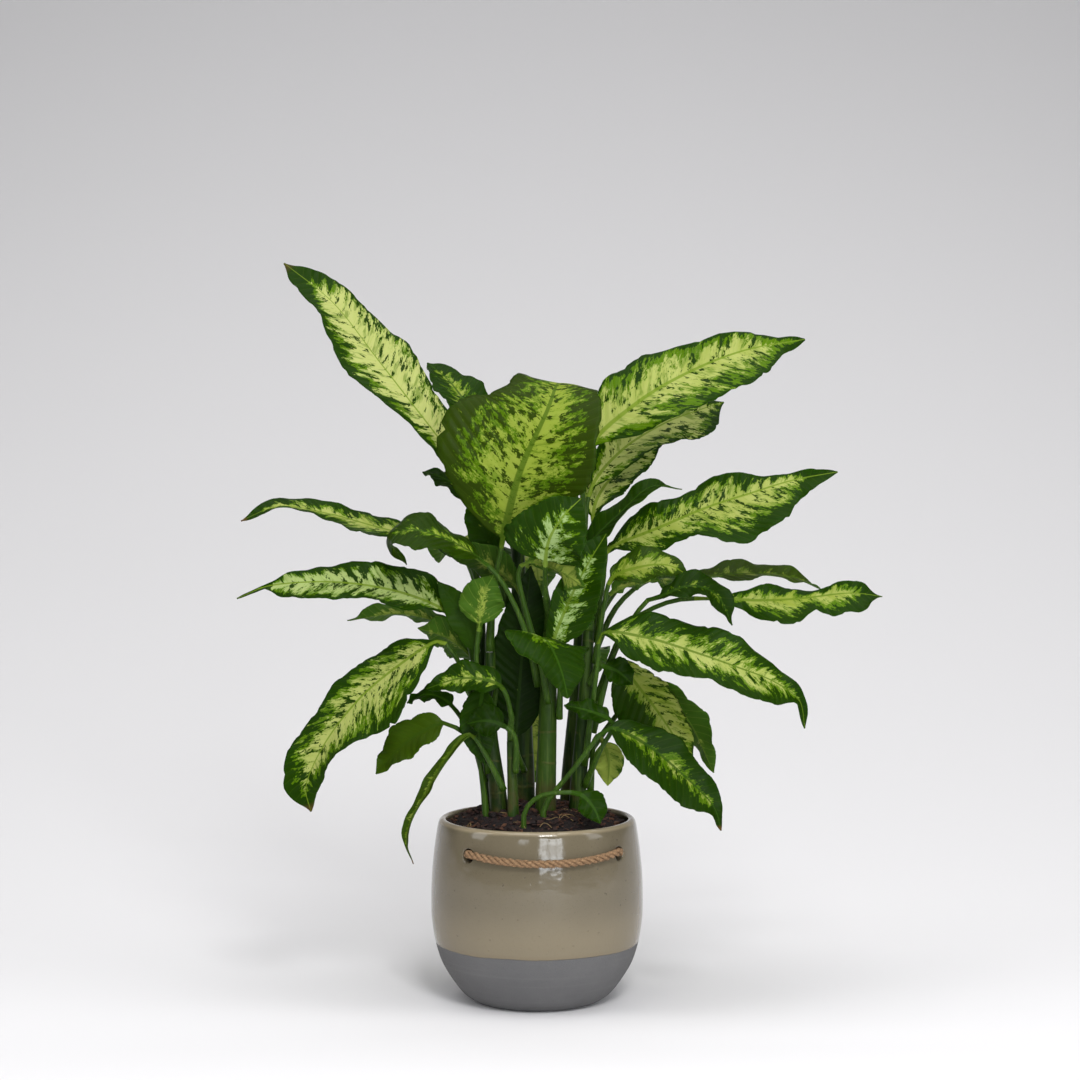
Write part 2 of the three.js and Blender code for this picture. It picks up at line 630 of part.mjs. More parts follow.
      [0.8, 0.7, 1.6], [0.9, 1.2, 3], [1, 1, 1]],
  },
  leaf_right_dark: {
    on: "cane_right", at: 255, turn: 60,
    stalk: [[72, -28, 330], [98, -40, 376]],
    rib: [[114, -46, 384], [142, -48, 394], [166, -50, 385], [180, -50, 358]],
    half: 17, face: [0.1, -0.6, 0.8], rings: 8,
  },
  leaf_right_lower: {
    on: "cane_right", at: 225, turn: 20,
    stalk: [[56, -44, 320]],
    rib: [[60, -50, 350], [100, -58, 347], [142, -66, 335], [180, -70, 322], [216, -70, 308], [240, -66, 290],
      [246, -62, 264]],
    half: 31, face: [0.15, -0.7, 0.7], wave: [4, 3, 2], rings: 13, widest: 0.5,
    trim: [[0, 1, 1], [0.1, 1.6, 1.6], [0.2, 1.2, 1.6], [0.3, 1.05, 1.7], [0.4, 1.1, 1.2], [0.5, 1, 0.85], [0.6, 0.86, 1.3],
      [0.7, 0.8, 1.4], [0.8, 0.5, 1.1], [0.88, 0.25, 0.4], [1, 1, 1]],
  },
  leaf_right_folded: {
    on: "cane_back_right", at: 250, turn: 70,
    stalk: [[64, 18, 300]],
    rib: [[76, 14, 316], [100, 8, 290], [126, 2, 254], [147, -2, 214]],
    half: 35, face: [0.1, -0.85, 0.5], fold: -28, rings: 9,
  },
  leaf_right_behind: {
    on: "cane_back_right", at: 225, turn: 105,
    stalk: [[86, 40, 276]],
    rib: [[112, 42, 292], [146, 44, 258], [170, 46, 208]],
    half: 20, face: [0.3, 0.6, 0.7], rings: 8,
  },
  leaf_right_round: {
    on: "cane_right", at: 300, turn: 20,
    stalk: [[56, -32, 318]],
    rib: [[63, -36, 318], [75, -39, 314], [89, -39, 302]],
    half: 13.5, face: [0, -0.9, 0.4], rings: 7,
  },
  leaf_lower_right: {
    shoot: true, foot: 3.6,
    stalk: [[6, -52, 135], [6, -52, 168], [8, -53, 192], [34, -56, 226], [52, -58, 250]],
    rib: [[68, -60, 264], [102, -66, 248], [134, -74, 222], [160, -80, 196], [168, -84, 173]],
    half: 29, face: [0.3, -0.8, 0.5], stalkRings: 6, wave: [3.5, 2.5, 0],
    trim: [[0, 1, 1], [0.1, 0.8, 1.2], [0.3, 0.75, 1.05], [0.4, 0.8, 1.1], [0.6, 0.75, 1.15],
      [0.8, 0.65, 1.2], [0.9, 0.6, 0.8], [1, 1, 1]],
  },
  leaf_right_spear: {
    on: "cane_right", at: 205, turn: 30,
    stalk: [[58, -42, 240], [70, -46, 262]],
    rib: [[66, -48, 271], [46, -49, 279], [25, -50, 284]],
    half: 11, face: [0, -0.8, 0.6], rings: 7,
  },
  leaf_right_pale: {
    on: "cane_right", at: 200, turn: 90,
    stalk: [[53, -17, 243], [57, -21, 252]],
    rib: [[62, -25, 246], [67, -27, 228], [66, -27, 206]],
    half: 15, face: [0, 0.95, 0.3], rings: 7, stalkRings: 4,
  },
  // rear
  leaf_rear_high: {
    on: "cane_back_right", at: 380, turn: -150,
    stalk: [[40, 56, 450]],
    rib: [[34, 86, 490], [24, 132, 510], [14, 182, 505], [8, 218, 480]],
    half: 33, face: [0, -0.3, 0.95], tipFace: [0, 0.4, 0.9], rings: 8,
  },
  leaf_rear_left: {
    on: "cane_back_left", at: 330, turn: 180,
    stalk: [[-58, 58, 380]],
    rib: [[-68, 90, 408], [-80, 130, 424], [-92, 165, 420], [-100, 195, 402]],
    half: 28, face: [0, -0.2, 0.95], tipFace: [-0.3, 0.4, 0.85],
  },
  leaf_rear_right: {
    on: "cane_back_right", at: 295, turn: 170,
    stalk: [[58, 60, 350]],
    rib: [[80, 86, 384], [104, 122, 398], [124, 162, 392], [134, 192, 370]],
    half: 26, face: [0, -0.2, 0.95], tipFace: [0.3, 0.4, 0.85],
  },
  leaf_rear_mid: {
    on: "cane_back", at: 330, turn: 180,
    stalk: [[-14, 62, 380]],
    rib: [[-10, 94, 405], [-4, 142, 412], [0, 192, 395], [2, 226, 362]],
    half: 32, face: [0, -0.2, 0.95], tipFace: [0, 0.6, 0.8],
  },
  leaf_rear_low_left: {
    on: "cane_back_left", at: 235, turn: 170,
    stalk: [[-46, 62, 285]],
    rib: [[-46, 90, 302], [-50, 132, 300], [-54, 170, 276], [-56, 196, 244]],
    half: 27, face: [0, -0.1, 0.98], tipFace: [-0.2, 0.6, 0.8],
  },
  leaf_rear_low_right: {
    on: "cane_back_right", at: 215, turn: 175,
    stalk: [[36, 62, 270]],
    rib: [[40, 92, 308], [44, 136, 318], [48, 176, 302], [50, 206, 272]],
    half: 28, face: [0, -0.1, 0.98], tipFace: [0.2, 0.6, 0.8],
  },
  leaf_rear_low: {
    on: "cane_back", at: 225, turn: 180,
    stalk: [[-10, 64, 258]],
    rib: [[-8, 92, 264], [-6, 130, 248], [-4, 158, 216], [-2, 176, 180]],
    half: 25, face: [0, 0.1, 0.98], tipFace: [0, 0.8, 0.6], rings: 8,
  },
};

// ---------------------------------------------------------------- soil

// A mound from wall to wall, uneven on top.
function soilSolid() {
  const n = SOIL.sides;
  const rings = [];
  const ringAt = (radius, height, bump) => {
    const ring = [];
    for (let k = 0; k < n; k++) {
      const a = (360 * k) / n;
      const rough = bump * (Math.sin(k * 2.1 + radius) + 0.6 * Math.sin(k * 1.3 + radius * 0.7));
      ring.push(around(radius, a, height + rough));
    }
    return ring;
  };
  const wall = (height) => radiusAt([...POT.inner, POT.lip[2]], height) - SOIL.wall;
  rings.push(ringAt(50, POT.floor + 3, 0));
  rings.push(ringAt(wall(16), 16, 0));
  for (const height of [28, 56, 93, 118]) rings.push(ringAt(wall(height), height, 0));
  rings.push(ringAt(wall(SOIL.edge), SOIL.edge, 0));
  rings.push(ringAt(74, mix(SOIL.edge, SOIL.crown, 0.45), 1));
  rings.push(ringAt(54, mix(SOIL.edge, SOIL.crown, 0.85), 1.4));
  rings.push(ringAt(30, SOIL.crown, 1.2));
  rings.push(ringAt(8, SOIL.crown + 1, 0.6));
  let solid = toSolid(loft(rings));
  for (const turn of [HOLE.left, HOLE.right]) {
    const pocket = bar(around(63, turn, HOLE.height), around(100, turn, HOLE.height), SOIL.pocket, 10);
    solid = solid.subtract(toSolid(pocket));
  }
  return solid;
}

// A hole in the soil for a cane or a stalk that stands in it.
function plainHole(path, radius) {
  const low = v(path[0]);
  const high = v(path[1]);
  const along = high.clone().sub(low).normalize();
  return toSolid(bar(low.clone().addScaledVector(along, -GAP - 1), high.clone().addScaledVector(along, 25), radius, 12));
}

let soil = soilSolid();
for (const [name, cane] of Object.entries(CANES)) {
  const steps = (cane.path.length - 1) * 2;
  add(name, tube(cane.path, cane.r, 8, steps));
  soil = soil.subtract(plainHole(cane.path, cane.r[0] / Math.cos(Math.PI / 12) + GAP + 0.2));
}
for (const [name, leaf] of Object.entries(LEAVES)) {
  add(name, leafGeometry(leaf));
  if (!leaf.shoot) continue;
  soil = soil.subtract(plainHole(leaf.stalk, leaf.foot / Math.cos(Math.PI / 12) + 0.8));
}

add("pot", toGeometry(potSolid()));
add("rope", toGeometry(ropeSolid()));
add("soil", toGeometry(soil));

export default plant;
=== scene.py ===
"""Potted dieffenbachia: the looks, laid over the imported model. Millimetres in the tables, metres in Blender."""
import json
import math
import random
from types import SimpleNamespace

import bpy
import numpy as np
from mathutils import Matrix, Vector


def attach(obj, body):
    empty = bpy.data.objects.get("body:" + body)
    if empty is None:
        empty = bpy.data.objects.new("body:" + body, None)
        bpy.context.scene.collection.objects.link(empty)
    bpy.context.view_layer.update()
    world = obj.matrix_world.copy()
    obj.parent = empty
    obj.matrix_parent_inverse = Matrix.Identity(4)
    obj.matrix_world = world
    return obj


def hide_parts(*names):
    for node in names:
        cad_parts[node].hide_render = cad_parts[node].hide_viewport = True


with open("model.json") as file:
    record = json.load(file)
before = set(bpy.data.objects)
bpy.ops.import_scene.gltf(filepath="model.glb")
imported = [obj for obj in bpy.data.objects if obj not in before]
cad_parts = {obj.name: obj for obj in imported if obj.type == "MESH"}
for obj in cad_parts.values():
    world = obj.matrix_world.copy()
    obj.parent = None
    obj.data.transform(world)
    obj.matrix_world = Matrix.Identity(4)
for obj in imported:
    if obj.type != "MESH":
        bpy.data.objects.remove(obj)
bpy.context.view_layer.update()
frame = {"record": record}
MM = 0.001
FULL_TURN = 2 * math.pi
BODY = "root"
SLOTS = {row["node"]: row["material_slot"] for row in frame["record"]["subparts"]}

# -------- camera

CAMERA = {"place": (0.0028, -2.4, 0.55), "down": 2.76, "lens": 85.23, "sensor": 36.0}

camera_data = bpy.data.cameras.new("camera")
camera_data.lens = CAMERA["lens"]
camera_data.sensor_width = CAMERA["sensor"]
camera = bpy.data.objects.new("camera", camera_data)
camera.location = CAMERA["place"]
camera.rotation_euler = (math.radians(90 - CAMERA["down"]), 0, 0)
bpy.context.collection.objects.link(camera)
bpy.context.scene.camera = camera

# -------- sizes

# profiles are (radius, height); the pot's goes from the middle of the underside up, over the lip and down inside
POT = {
    "foot": [(0.01, 1.2), (47, 1.2), (50, 0), (56, 0), (60, 0.9)],
    "outer": [(63, 2.5), (71.5, 9), (82, 23), (90.5, 38), (96, 56), (99.3, 76), (100, 93), (99.4, 118),
              (97.4, 140), (95, 158), (93.4, 167)],
    "lip": [(91.6, 171), (88.6, 172.4), (85.8, 170.4)],
    "inner": [(86.6, 160), (91.4, 118), (92, 93), (88, 56), (76, 28), (58, 12)],
    "floor": [(30, 10.4), (0.01, 10)],
    "glaze": 56,  # height of the line between clay and glaze
    "steps": 150, "sides": 144,
}
# left and right are degrees round from the front
HOLE = {"radius": 6.4, "height": 148, "left": -41, "right": 52}
ROPE = {"radius": 3.7, "height": 149.6, "sag": 5, "knot": 9, "knot_at": 78, "mouth_at": 97.5, "gap": 0.7,
        "strand": 0.44, "lay": 0.54, "pitch": 21.0, "steps": 420, "sides": 12, "hairs": 260}
SOIL = {"mound": [(0, 185), (30, 184), (54, 180.7), (74, 171.9), (85, 162)],
        "skirt": [(85.4, 150), (90, 118), (90.8, 93), (86.8, 56), (74.8, 28), (60, 14.2), (1, 13.6)],
        "steps": 46, "sides": 180, "chips": 900, "roots": 44}
LEAF = {"thickness": 0.8, "petiole": 2.2, "rib": 2.4, "tip": 0.9, "stalk_rings": 12, "columns": 24,
        "rings": 72, "small": 20, "small_rings": 40}

# path: points of the axis; r: the radius at each; tone: how light the skin is
CANES = {
    "cane_main": dict(r=(10.5, 10, 8.5, 6.5), tone=0.45,
        path=[(8, -28, 120), (8, -28, 190), (10, -30, 270), (12, -28, 350)]),
    "cane_left": dict(r=(9, 8.5, 6.5, 5), path=[(-34, -22, 120), (-36, -22, 190), (-44, -20, 260), (-44, -16, 330)]),
    "cane_left_front": dict(r=(6, 5.5, 4), tone=0.25, path=[(-22, -46, 125), (-22, -46, 180), (-24, -44, 250)]),
    "cane_back": dict(r=(10.5, 10, 8.5, 6), path=[(-12, 22, 120), (-12, 22, 200), (-16, 20, 320), (-18, 14, 430)]),
    "cane_back_right": dict(r=(10, 9.5, 8, 5.5), path=[(30, 26, 120), (32, 26, 200), (40, 22, 300), (44, 18, 410)]),
    "cane_right": dict(r=(8.5, 8, 7, 5.5), path=[(38, -14, 120), (38, -14, 190), (44, -14, 270), (48, -14, 350)]),
    "cane_back_left": dict(r=(8, 7.5, 6, 4.5), path=[(-44, 22, 120), (-46, 22, 190), (-52, 22, 280), (-54, 20, 370)]),
}

# pale: share of the half width that is pale; base, tip, taper: how much the margin widens at the stalk, at the tip and
# along the blade; skew: how far the pale part lies to one side; blotch, grain: amount and fineness of the blotches;
# halo: mid-green band round the pale part; rib: width of the midrib; the rest are tints, of which the one towards
# near black is painted shade on leaves that lie in the plant's shade
LOOK = dict(pale=0.45, base=0.35, tip=0.8, taper=0, skew=0, blotch=0.2, grain=0.72, halo=0.1, rib=0.2,
            white=0, olive=0, dull=0, brown=0, fresh=0, cream=0, shade=0)
LEAVES = {}


def leaf(name, on, stalk, midrib, half, face, pale=LOOK["pale"], **more):
    """A row of LEAVES.

    on: the cane, with the height and the degrees from the front of the stalk's foot, or alone for the cane's top;
    or the soil, with the foot's radius
    stalk, midrib: points on the way to the tip; half: half the blade's width
    face, tip_face: where the upper side points at the base and at the tip
    widest: where along the blade it is widest; fold: degrees that its sides rise; curl: how far its margins roll down
    lean: how much wider the right side is; wave: height, number and phase of the margin's waves
    veins: slant and bow of the side veins; trim: {place along the blade: shares of the left and right width}
    both_top: the underside is coloured as the upper side; all others: see LOOK
    """
    LEAVES["leaf_" + name] = dict(on=on, stalk=stalk, midrib=midrib, half=half, face=face, pale=pale, **more)


# top
leaf("top_left", ("back",), [(-38, 8, 480)],
    [(-70, 6, 502), (-107, 12, 548), (-151, 24, 604), (-193, 36, 657), (-241, 45, 696)], 35, (0.45, -0.8, 0.45), 0.72,
    fold=8, wave=(4, 2.5, 0.5), blotch=0.205, skew=-0.22, halo=0.2, rib=0.08, cream=0.8, brown=0.4, tip=1.5,
    trim={0.12: (0.55, 1), 0.22: (0.6, 0.95), 0.3: (0.85, 0.9), 0.4: (1, 0.92), 0.5: (1.12, 1), 0.6: (1.18, 0.9),
    0.7: (1.2, 1), 0.8: (1.1, 1), 0.9: (1.3, 1.2), 0.95: (1.7, 1.5)})
leaf("top_behind", ("back", 400, 180), [(-34, 46, 480)], [(-52, 56, 535), (-82, 92, 580), (-108, 125, 603)], 27,
    (0.2, -0.5, 0.85), 0.1)
leaf("front_large", ("left",), [(-40, -26, 390)],
    [(-31, -40, 438), (-16, -50, 498), (9, -42, 554), (20, -8, 581), (30, 40, 566)], 78, (-0.05, -0.98, 0.1), 0.42,
    tip_face=(0, -0.2, 1), widest=0.48, fold=3, lean=-0.12, wave=(5, 2, 1), veins=(0.34, 0.015), blotch=0.24,
    halo=0.2, olive=0.8, rib=0.46, dull=0.04, shade=0.1, taper=0.12, grain=1, trim={0.3: (1.08, 1.02), 0.4: (1, 1),
    0.5: (0.9, 0.9), 0.6: (0.74, 0.78), 0.7: (0.64, 0.72), 0.8: (0.76, 0.64), 0.9: (0.9, 0.8)})
leaf("top_right", ("back_right",), [(43, 12, 460)],
    [(48, 8, 518), (92, 14, 561), (142, 28, 591), (198, 46, 613), (257, 60, 624)], 37, (-0.35, -0.85, 0.45), 0.58,
    widest=0.56, fold=8, wave=(4, 2.5, 2), blotch=0.205, halo=0.5, taper=0.1, cream=0.35, rib=0.3,
    trim={0.1: (1.6, 1.4), 0.2: (1.8, 1.45), 0.3: (1.35, 1.4), 0.4: (1.25, 1.4), 0.5: (0.9, 1.2), 0.6: (0.6, 1.1),
    0.7: (0.7, 1.3), 0.8: (0.8, 1.35), 0.9: (0.45, 0.9)})
leaf("right_second", ("back_right", 370, 168), [(46, 36, 440)],
    [(52, 44, 482), (82, 54, 518), (122, 66, 543), (156, 76, 556), (181, 82, 564)], 29, (-0.35, -0.8, 0.45), 0.72,
    widest=0.55, wave=(3, 2, 3), blotch=0.21, halo=0.2, cream=0.6, both_top=True, trim={0: (1, 1.3), 0.3: (1, 1.1),
    0.5: (1, 0.9), 0.65: (1, 1.1), 0.8: (1, 1.8), 0.9: (1, 2.3)})
leaf("right_third", ("back_right", 350, 145), [(59, 42, 410)],
    [(54, 54, 455), (66, 64, 484), (92, 74, 508), (126, 84, 531)], 25, (-0.4, -0.8, 0.3), 0.62, blotch=0.21,
    cream=0.6, both_top=True)
# left side, from the top down
leaf("left_back_small", ("back", 370, -110), [(-46, 24, 430)], [(-62, 32, 470), (-88, 46, 490), (-110, 58, 497)], 18,
    (0.2, -0.5, 0.8), -0.3)
leaf("left_far", ("back_left",), [(-66, 16, 415)],
    [(-108, 6, 434), (-150, -2, 446), (-196, -8, 459), (-240, -14, 466), (-276, -18, 453)], 21, (0.1, -0.35, 0.93),
    0.4, cream=0.3, brown=0.8, trim={0.2: (1, 1.25), 0.3: (1.9, 1.3), 0.4: (1.9, 0.8), 0.5: (1, 0.65),
    0.6: (0.6, 1.05), 0.7: (1, 1.4)})
leaf("left_curled", ("main", 300, -60), [(-10, -44, 350), (-31, -46, 396)],
    [(-54, -48, 420), (-85, -54, 438), (-116, -56, 446), (-134, -54, 436), (-120, -50, 414)], 30, (0.1, -0.3, 0.95),
    0.0, tip_face=(-1, -0.3, 0.2), curl=0.2, olive=0.3)
leaf("left_mid", ("left", 296, -90), [(-66, -20, 345)],
    [(-86, -22, 369), (-130, -24, 387), (-188, -26, 396), (-246, -28, 393), (-279, -28, 381)], 27,
    (0.05, -0.65, 0.75), 0.6, wave=(4, 3, 0), blotch=0.25, white=0.5, halo=0.12, cream=0.5, trim={0.1: (0.6, 1.7),
    0.2: (1.15, 1.5), 0.3: (1.1, 1.2), 0.4: (0.75, 0.85), 0.5: (0.9, 0.8), 0.6: (1.3, 0.8), 0.7: (1.3, 0.5),
    0.8: (0.9, 0.2), 0.86: (0.3, 0.2)})
leaf("left_under", ("back_left", 290, -95), [(-70, 22, 330)], [(-84, 22, 352), (-128, 22, 364), (-180, 18, 357)], 20,
    (0.05, 0.5, 0.85), 0.1, dull=0.5)
leaf("lower_left", ("left", 250, -80), [(-64, -24, 300), (-78, -28, 330)], [(-93, -32, 341), (-127, -36, 320),
    (-163, -42, 290), (-194, -50, 251), (-212, -58, 212), (-208, -62, 187)], 36, (-0.45, -0.65, 0.6), 0.48,
    widest=0.56, wave=(4.5, 2.5, 1), blotch=0.235, halo=0.24, cream=0.5, brown=0.5, trim={0.1: (1.8, 1.7),
    0.2: (2, 1.5), 0.3: (2.2, 1.1), 0.4: (2, 0.84), 0.5: (1.45, 0.8), 0.6: (1.15, 0.86), 0.7: (1, 1.05),
    0.8: (0.9, 1.15), 0.9: (1, 1.5)})
leaf("left_olive", ("back_left", 250, -40), [(-56, 2, 300)], [(-60, -4, 322), (-82, -6, 342), (-112, -6, 352)], 25,
    (0.2, 0.75, 0.6), 0.0, fresh=1, olive=0.7, dull=0.55)
leaf("left_striped", ("left_front",), [(-24, -48, 275)], [(-34, -52, 302), (-68, -52, 309), (-102, -48, 299)], 17,
    (0, -0.8, 0.6), 0.2)
leaf("left_pale", ("left", 275, -20), [(-56, -41, 322)], [(-53, -44, 359), (-50, -44, 384), (-40, -41, 404)], 22,
    (0, 0.95, -0.3), 0.4, fresh=0.6, dull=0.5, olive=0.5, halo=0.6, taper=0.5, rib=0)
leaf("left_green", ("left", 218, -35), [(-57, -29, 285)], [(-59, -28, 334), (-68, -28, 365), (-92, -28, 397)], 16,
    (-0.3, -0.9, 0.2), -0.5, wave=(2, 2, 0), blotch=0, fresh=0.4, shade=0.3)
leaf("left_upright", ("back", 400, -60), [(-32, 2, 404)], [(-38, -2, 418), (-50, 0, 444), (-64, 4, 474)], 17,
    (-0.4, -0.85, 0.2), -0.3, blotch=0.1, fresh=0.5, shade=0.3)
leaf("left_dark_small", ("left", 208, -115), [(-62, -20, 252)], [(-80, -18, 280), (-102, -16, 290), (-122, -12, 282)],
    12, (0, -0.5, 0.85), -0.4)
leaf("left_plain", ("soil", 4.6),
    [(-48, -30, 132), (-48, -30, 170), (-49, -31, 196), (-57, -36, 245), (-72, -38, 259)],
    [(-87, -38, 266), (-119, -42, 250), (-149, -48, 220)], 21, (-0.45, -0.75, 0.5), -0.5, blotch=0, fresh=0.45,
    olive=0.8, dull=0.3)
leaf("left_hanging", ("left_front", 205, -70), [(-46, -54, 236)], [(-62, -56, 257), (-83, -58, 235), (-100, -60, 207),
    (-115, -62, 180), (-120, -60, 158), (-114, -58, 138)], 9, (-0.7, -0.6, 0.4), 0.25, fold=34, wave=(1.5, 3, 0),
    dull=0.35, brown=1, blotch=0.24, trim={0: (1, 0.9), 0.5: (1.1, 0.7), 1: (1, 0.9)})
# middle
leaf("centre_up", ("main",), [(8, -44, 388)], [(8, -66, 419), (12, -80, 440), (24, -88, 460), (40, -84, 476)], 40,
    (-0.1, -0.9, 0.35), 0.5, white=0.9, taper=0.7, base=-0.25, skew=-0.15, halo=0.14,
    trim={0: (1.5, 1), 0.2: (1.3, 1.1), 0.4: (0.9, 1), 0.6: (0.75, 1), 0.8: (0.7, 1)})
leaf("centre_olive", ("main", 325, -60), [(-14, -37, 385), (-17, -41, 408)],
    [(-8, -44, 416), (8, -50, 415), (25, -69, 407), (44, -82, 395)], 21, (0, 0.85, 0.5), 0.6, fold=5,
    wave=(1.5, 2, 0), dull=0.5, shade=0.1, trim={0: (0.6, 0.6), 0.3: (0.4, 0.7), 0.5: (0.55, 1.1), 0.65: (1, 1.1)})
leaf("centre_dark", ("main", 270, 60), [(21, -47, 310)],
    [(15, -50, 338), (26, -48, 371), (44, -47, 409), (64, -44, 442)], 33, (-0.35, -0.9, 0.2), 0.36, wave=(3, 2, 1),
    white=0.9, taper=0.35, base=0, halo=0.12,
    trim={0: (0.6, 1), 0.25: (0.4, 1), 0.5: (0.48, 0.95), 0.65: (0.55, 0.9), 0.8: (0.8, 0.85)})
leaf("front_down", ("main", 285, 0), [(3, -56, 328)],
    [(4, -72, 348), (12, -91, 342), (22, -100, 320), (28, -102, 296)], 47, (0.3, 0, 1), 0.1,
    tip_face=(0.2, -0.98, 0.2), widest=0.32, curl=0.32, white=0.3, taper=1.4, base=-0.35, blotch=0, halo=0.3,
    trim={0.1: (1, 1.1), 0.2: (1, 0.85), 0.35: (1, 0.6), 0.5: (0.9, 0.45), 0.7: (0.8, 0.4), 0.9: (0.8, 0.5)})
leaf("centre_small", ("left_front", 222, 25), [(-20, -60, 255)], [(-32, -62, 267), (-48, -62, 271), (-64, -60, 268)],
    16, (-0.2, -0.9, 0.3), -0.5, shade=0.4)
leaf("centre_hanging", ("left", 280, 20), [(-38, -36, 300), (-40, -42, 305)],
    [(-49, -47, 299), (-54, -47, 262), (-48, -47, 228)], 18, (0, -0.4, 1), -0.5, tip_face=(0, -1, 0.1), fold=4,
    wave=(1, 2, 0))
leaf("middle_left", ("main", 310, -100), [(-12, -22, 370)],
    [(-19, -16, 391), (-38, -15, 408), (-62, -16, 421), (-88, -18, 425)], 21, (0, 0.75, 0.65), 0.3, fold=6,
    wave=(2, 2, 1), shade=0.4, dull=0.3)
leaf("middle_dark", ("back", 215, 0), [(-18, -2, 232)],
    [(-20, -5, 250), (-17, -5, 290), (-12, -5, 350), (-6, -4, 410)], 29, (0, -1, 0.1), -0.5, fold=0, wave=(1, 2, 0),
    shade=0.55)
leaf("over_soil", ("soil", 2.6), [(-12, -66, 140), (-12, -66, 168), (-11, -66, 188), (2, -68, 202), (24, -70, 206)],
    [(40, -70, 204), (52, -72, 192), (58, -74, 178)], 14, (0, -0.9, 0.4), -0.5)
# right side, from the top down
leaf("right_narrow", ("right",), [(41, -17, 388)],
    [(39, -16, 408), (52, -15, 434), (79, -12, 461), (106, -8, 484), (136, 0, 482)], 17, (-0.5, -0.45, 0.75), -0.4)
leaf("right_long", ("back_right", 345, 90), [(62, 6, 392), (64, 4, 412)], [(70, 2, 427), (115, -3, 446),
    (160, -4, 465), (200, -3, 478), (240, 2, 490), (283, 8, 498)], 33, (-0.25, -0.8, 0.55), 0.46, widest=0.55,
    wave=(4, 3, 1), blotch=0.235, halo=0.14, cream=0.2, tip=1.3, trim={0: (2.2, 1.8), 0.08: (2, 1.7),
    0.16: (1.6, 1.5), 0.25: (1, 1.1), 0.34: (0.7, 1.1), 0.44: (0.85, 1.5), 0.53: (0.8, 1.7), 0.63: (0.55, 1.6),
    0.72: (0.4, 1.6), 0.81: (0.35, 1.1), 0.91: (0.3, 0.9)})
leaf("right_curled", ("right", 320, 50), [(62, -26, 372)],
    [(70, -30, 400), (98, -32, 411), (122, -32, 412), (140, -30, 403)], 19, (0, -0.8, 0.6), 0.5, wave=(3, 2, 0),
    dull=0.2)
leaf("right_small", ("right", 338, 125), [(60, -6, 369)], [(71, -6, 386), (89, -4, 393), (115, 0, 397)], 12,
    (0, 0.6, 0.8), 0.4, dull=0.4)
leaf("right_thin_back", ("back_right", 315, 120), [(76, 44, 368), (112, 56, 395)],
    [(148, 66, 395), (200, 84, 397), (246, 100, 394), (284, 116, 378)], 22, (0, -0.35, 0.93), 0.1, dull=0.4)
leaf("right_bright", ("right", 285, 95), [(82, -10, 350), (120, -16, 376)],
    [(160, -22, 381), (205, -28, 379), (245, -30, 381), (290, -30, 386), (321, -28, 383)], 20, (0, -0.7, 0.7), 0.38,
    widest=0.55, wave=(6, 2, 2), halo=0.16, trim={0.2: (0.7, 0.8), 0.3: (0.75, 1.5), 0.4: (0.85, 2), 0.5: (0.65, 1.9),
    0.6: (0.5, 0.9), 0.7: (0.3, 1.4), 0.8: (0.7, 1.6), 0.9: (1.2, 3)})
leaf("right_dark", ("right", 255, 60), [(72, -28, 330), (98, -40, 376)],
    [(114, -46, 384), (142, -48, 394), (166, -50, 385), (180, -50, 358)], 17, (0.1, -0.6, 0.8), -0.1, shade=0.3)
leaf("right_lower", ("right", 225, 20), [(56, -44, 320)], [(60, -50, 350), (100, -58, 347), (142, -66, 335),
    (180, -70, 322), (216, -70, 308), (240, -66, 290), (246, -62, 264)], 31, (0.15, -0.7, 0.7), 0.3, widest=0.5,
    wave=(4, 3, 2), halo=0.18, cream=0.4, blotch=0.19, trim={0.1: (1.6, 1.6), 0.2: (1.2, 1.6), 0.3: (1.05, 1.7),
    0.4: (1.1, 1.2), 0.5: (1, 0.85), 0.6: (0.86, 1.3), 0.7: (0.8, 1.4), 0.8: (0.5, 1.1), 0.88: (0.25, 0.4)})
leaf("right_folded", ("back_right", 250, 70), [(64, 18, 300)],
    [(76, 14, 316), (100, 8, 290), (126, 2, 254), (147, -2, 214)], 35, (0.1, -0.85, 0.5), 0.4, fold=-28, blotch=0.22,
    skew=0.8, dull=0.12)
leaf("right_behind", ("back_right", 225, 105), [(86, 40, 276)], [(112, 42, 292), (146, 44, 258), (170, 46, 208)], 20,
    (0.3, 0.6, 0.7), -0.1, dull=0.2)
leaf("right_round", ("right", 300, 20), [(56, -32, 318)], [(63, -36, 318), (75, -39, 314), (89, -39, 302)], 13.5,
    (0, -0.9, 0.4), -0.5)
leaf("lower_right", ("soil", 3.6), [(6, -52, 135), (6, -52, 168), (8, -53, 192), (34, -56, 226), (52, -58, 250)],
    [(68, -60, 264), (102, -66, 248), (134, -74, 222), (160, -80, 196), (168, -84, 173)], 29, (0.3, -0.8, 0.5), -0.02,
    wave=(3.5, 2.5, 0), halo=0.22, shade=0.12, brown=0.7, trim={0.1: (0.8, 1.2), 0.3: (0.75, 1.05), 0.4: (0.8, 1.1),
    0.6: (0.75, 1.15), 0.8: (0.65, 1.2), 0.9: (0.6, 0.8)})
leaf("right_spear", ("right", 205, 30), [(58, -42, 240), (70, -46, 262)],
    [(66, -48, 271), (46, -49, 279), (25, -50, 284)], 11, (0, -0.8, 0.6), -0.5)
leaf("right_pale", ("right", 200, 90), [(53, -17, 243), (57, -21, 252)],
    [(62, -25, 246), (67, -27, 228), (66, -27, 206)], 15, (0, 0.95, 0.3), 1.1, blotch=0.12, dull=0.4, shade=0.06,
    tip=0, base=0)
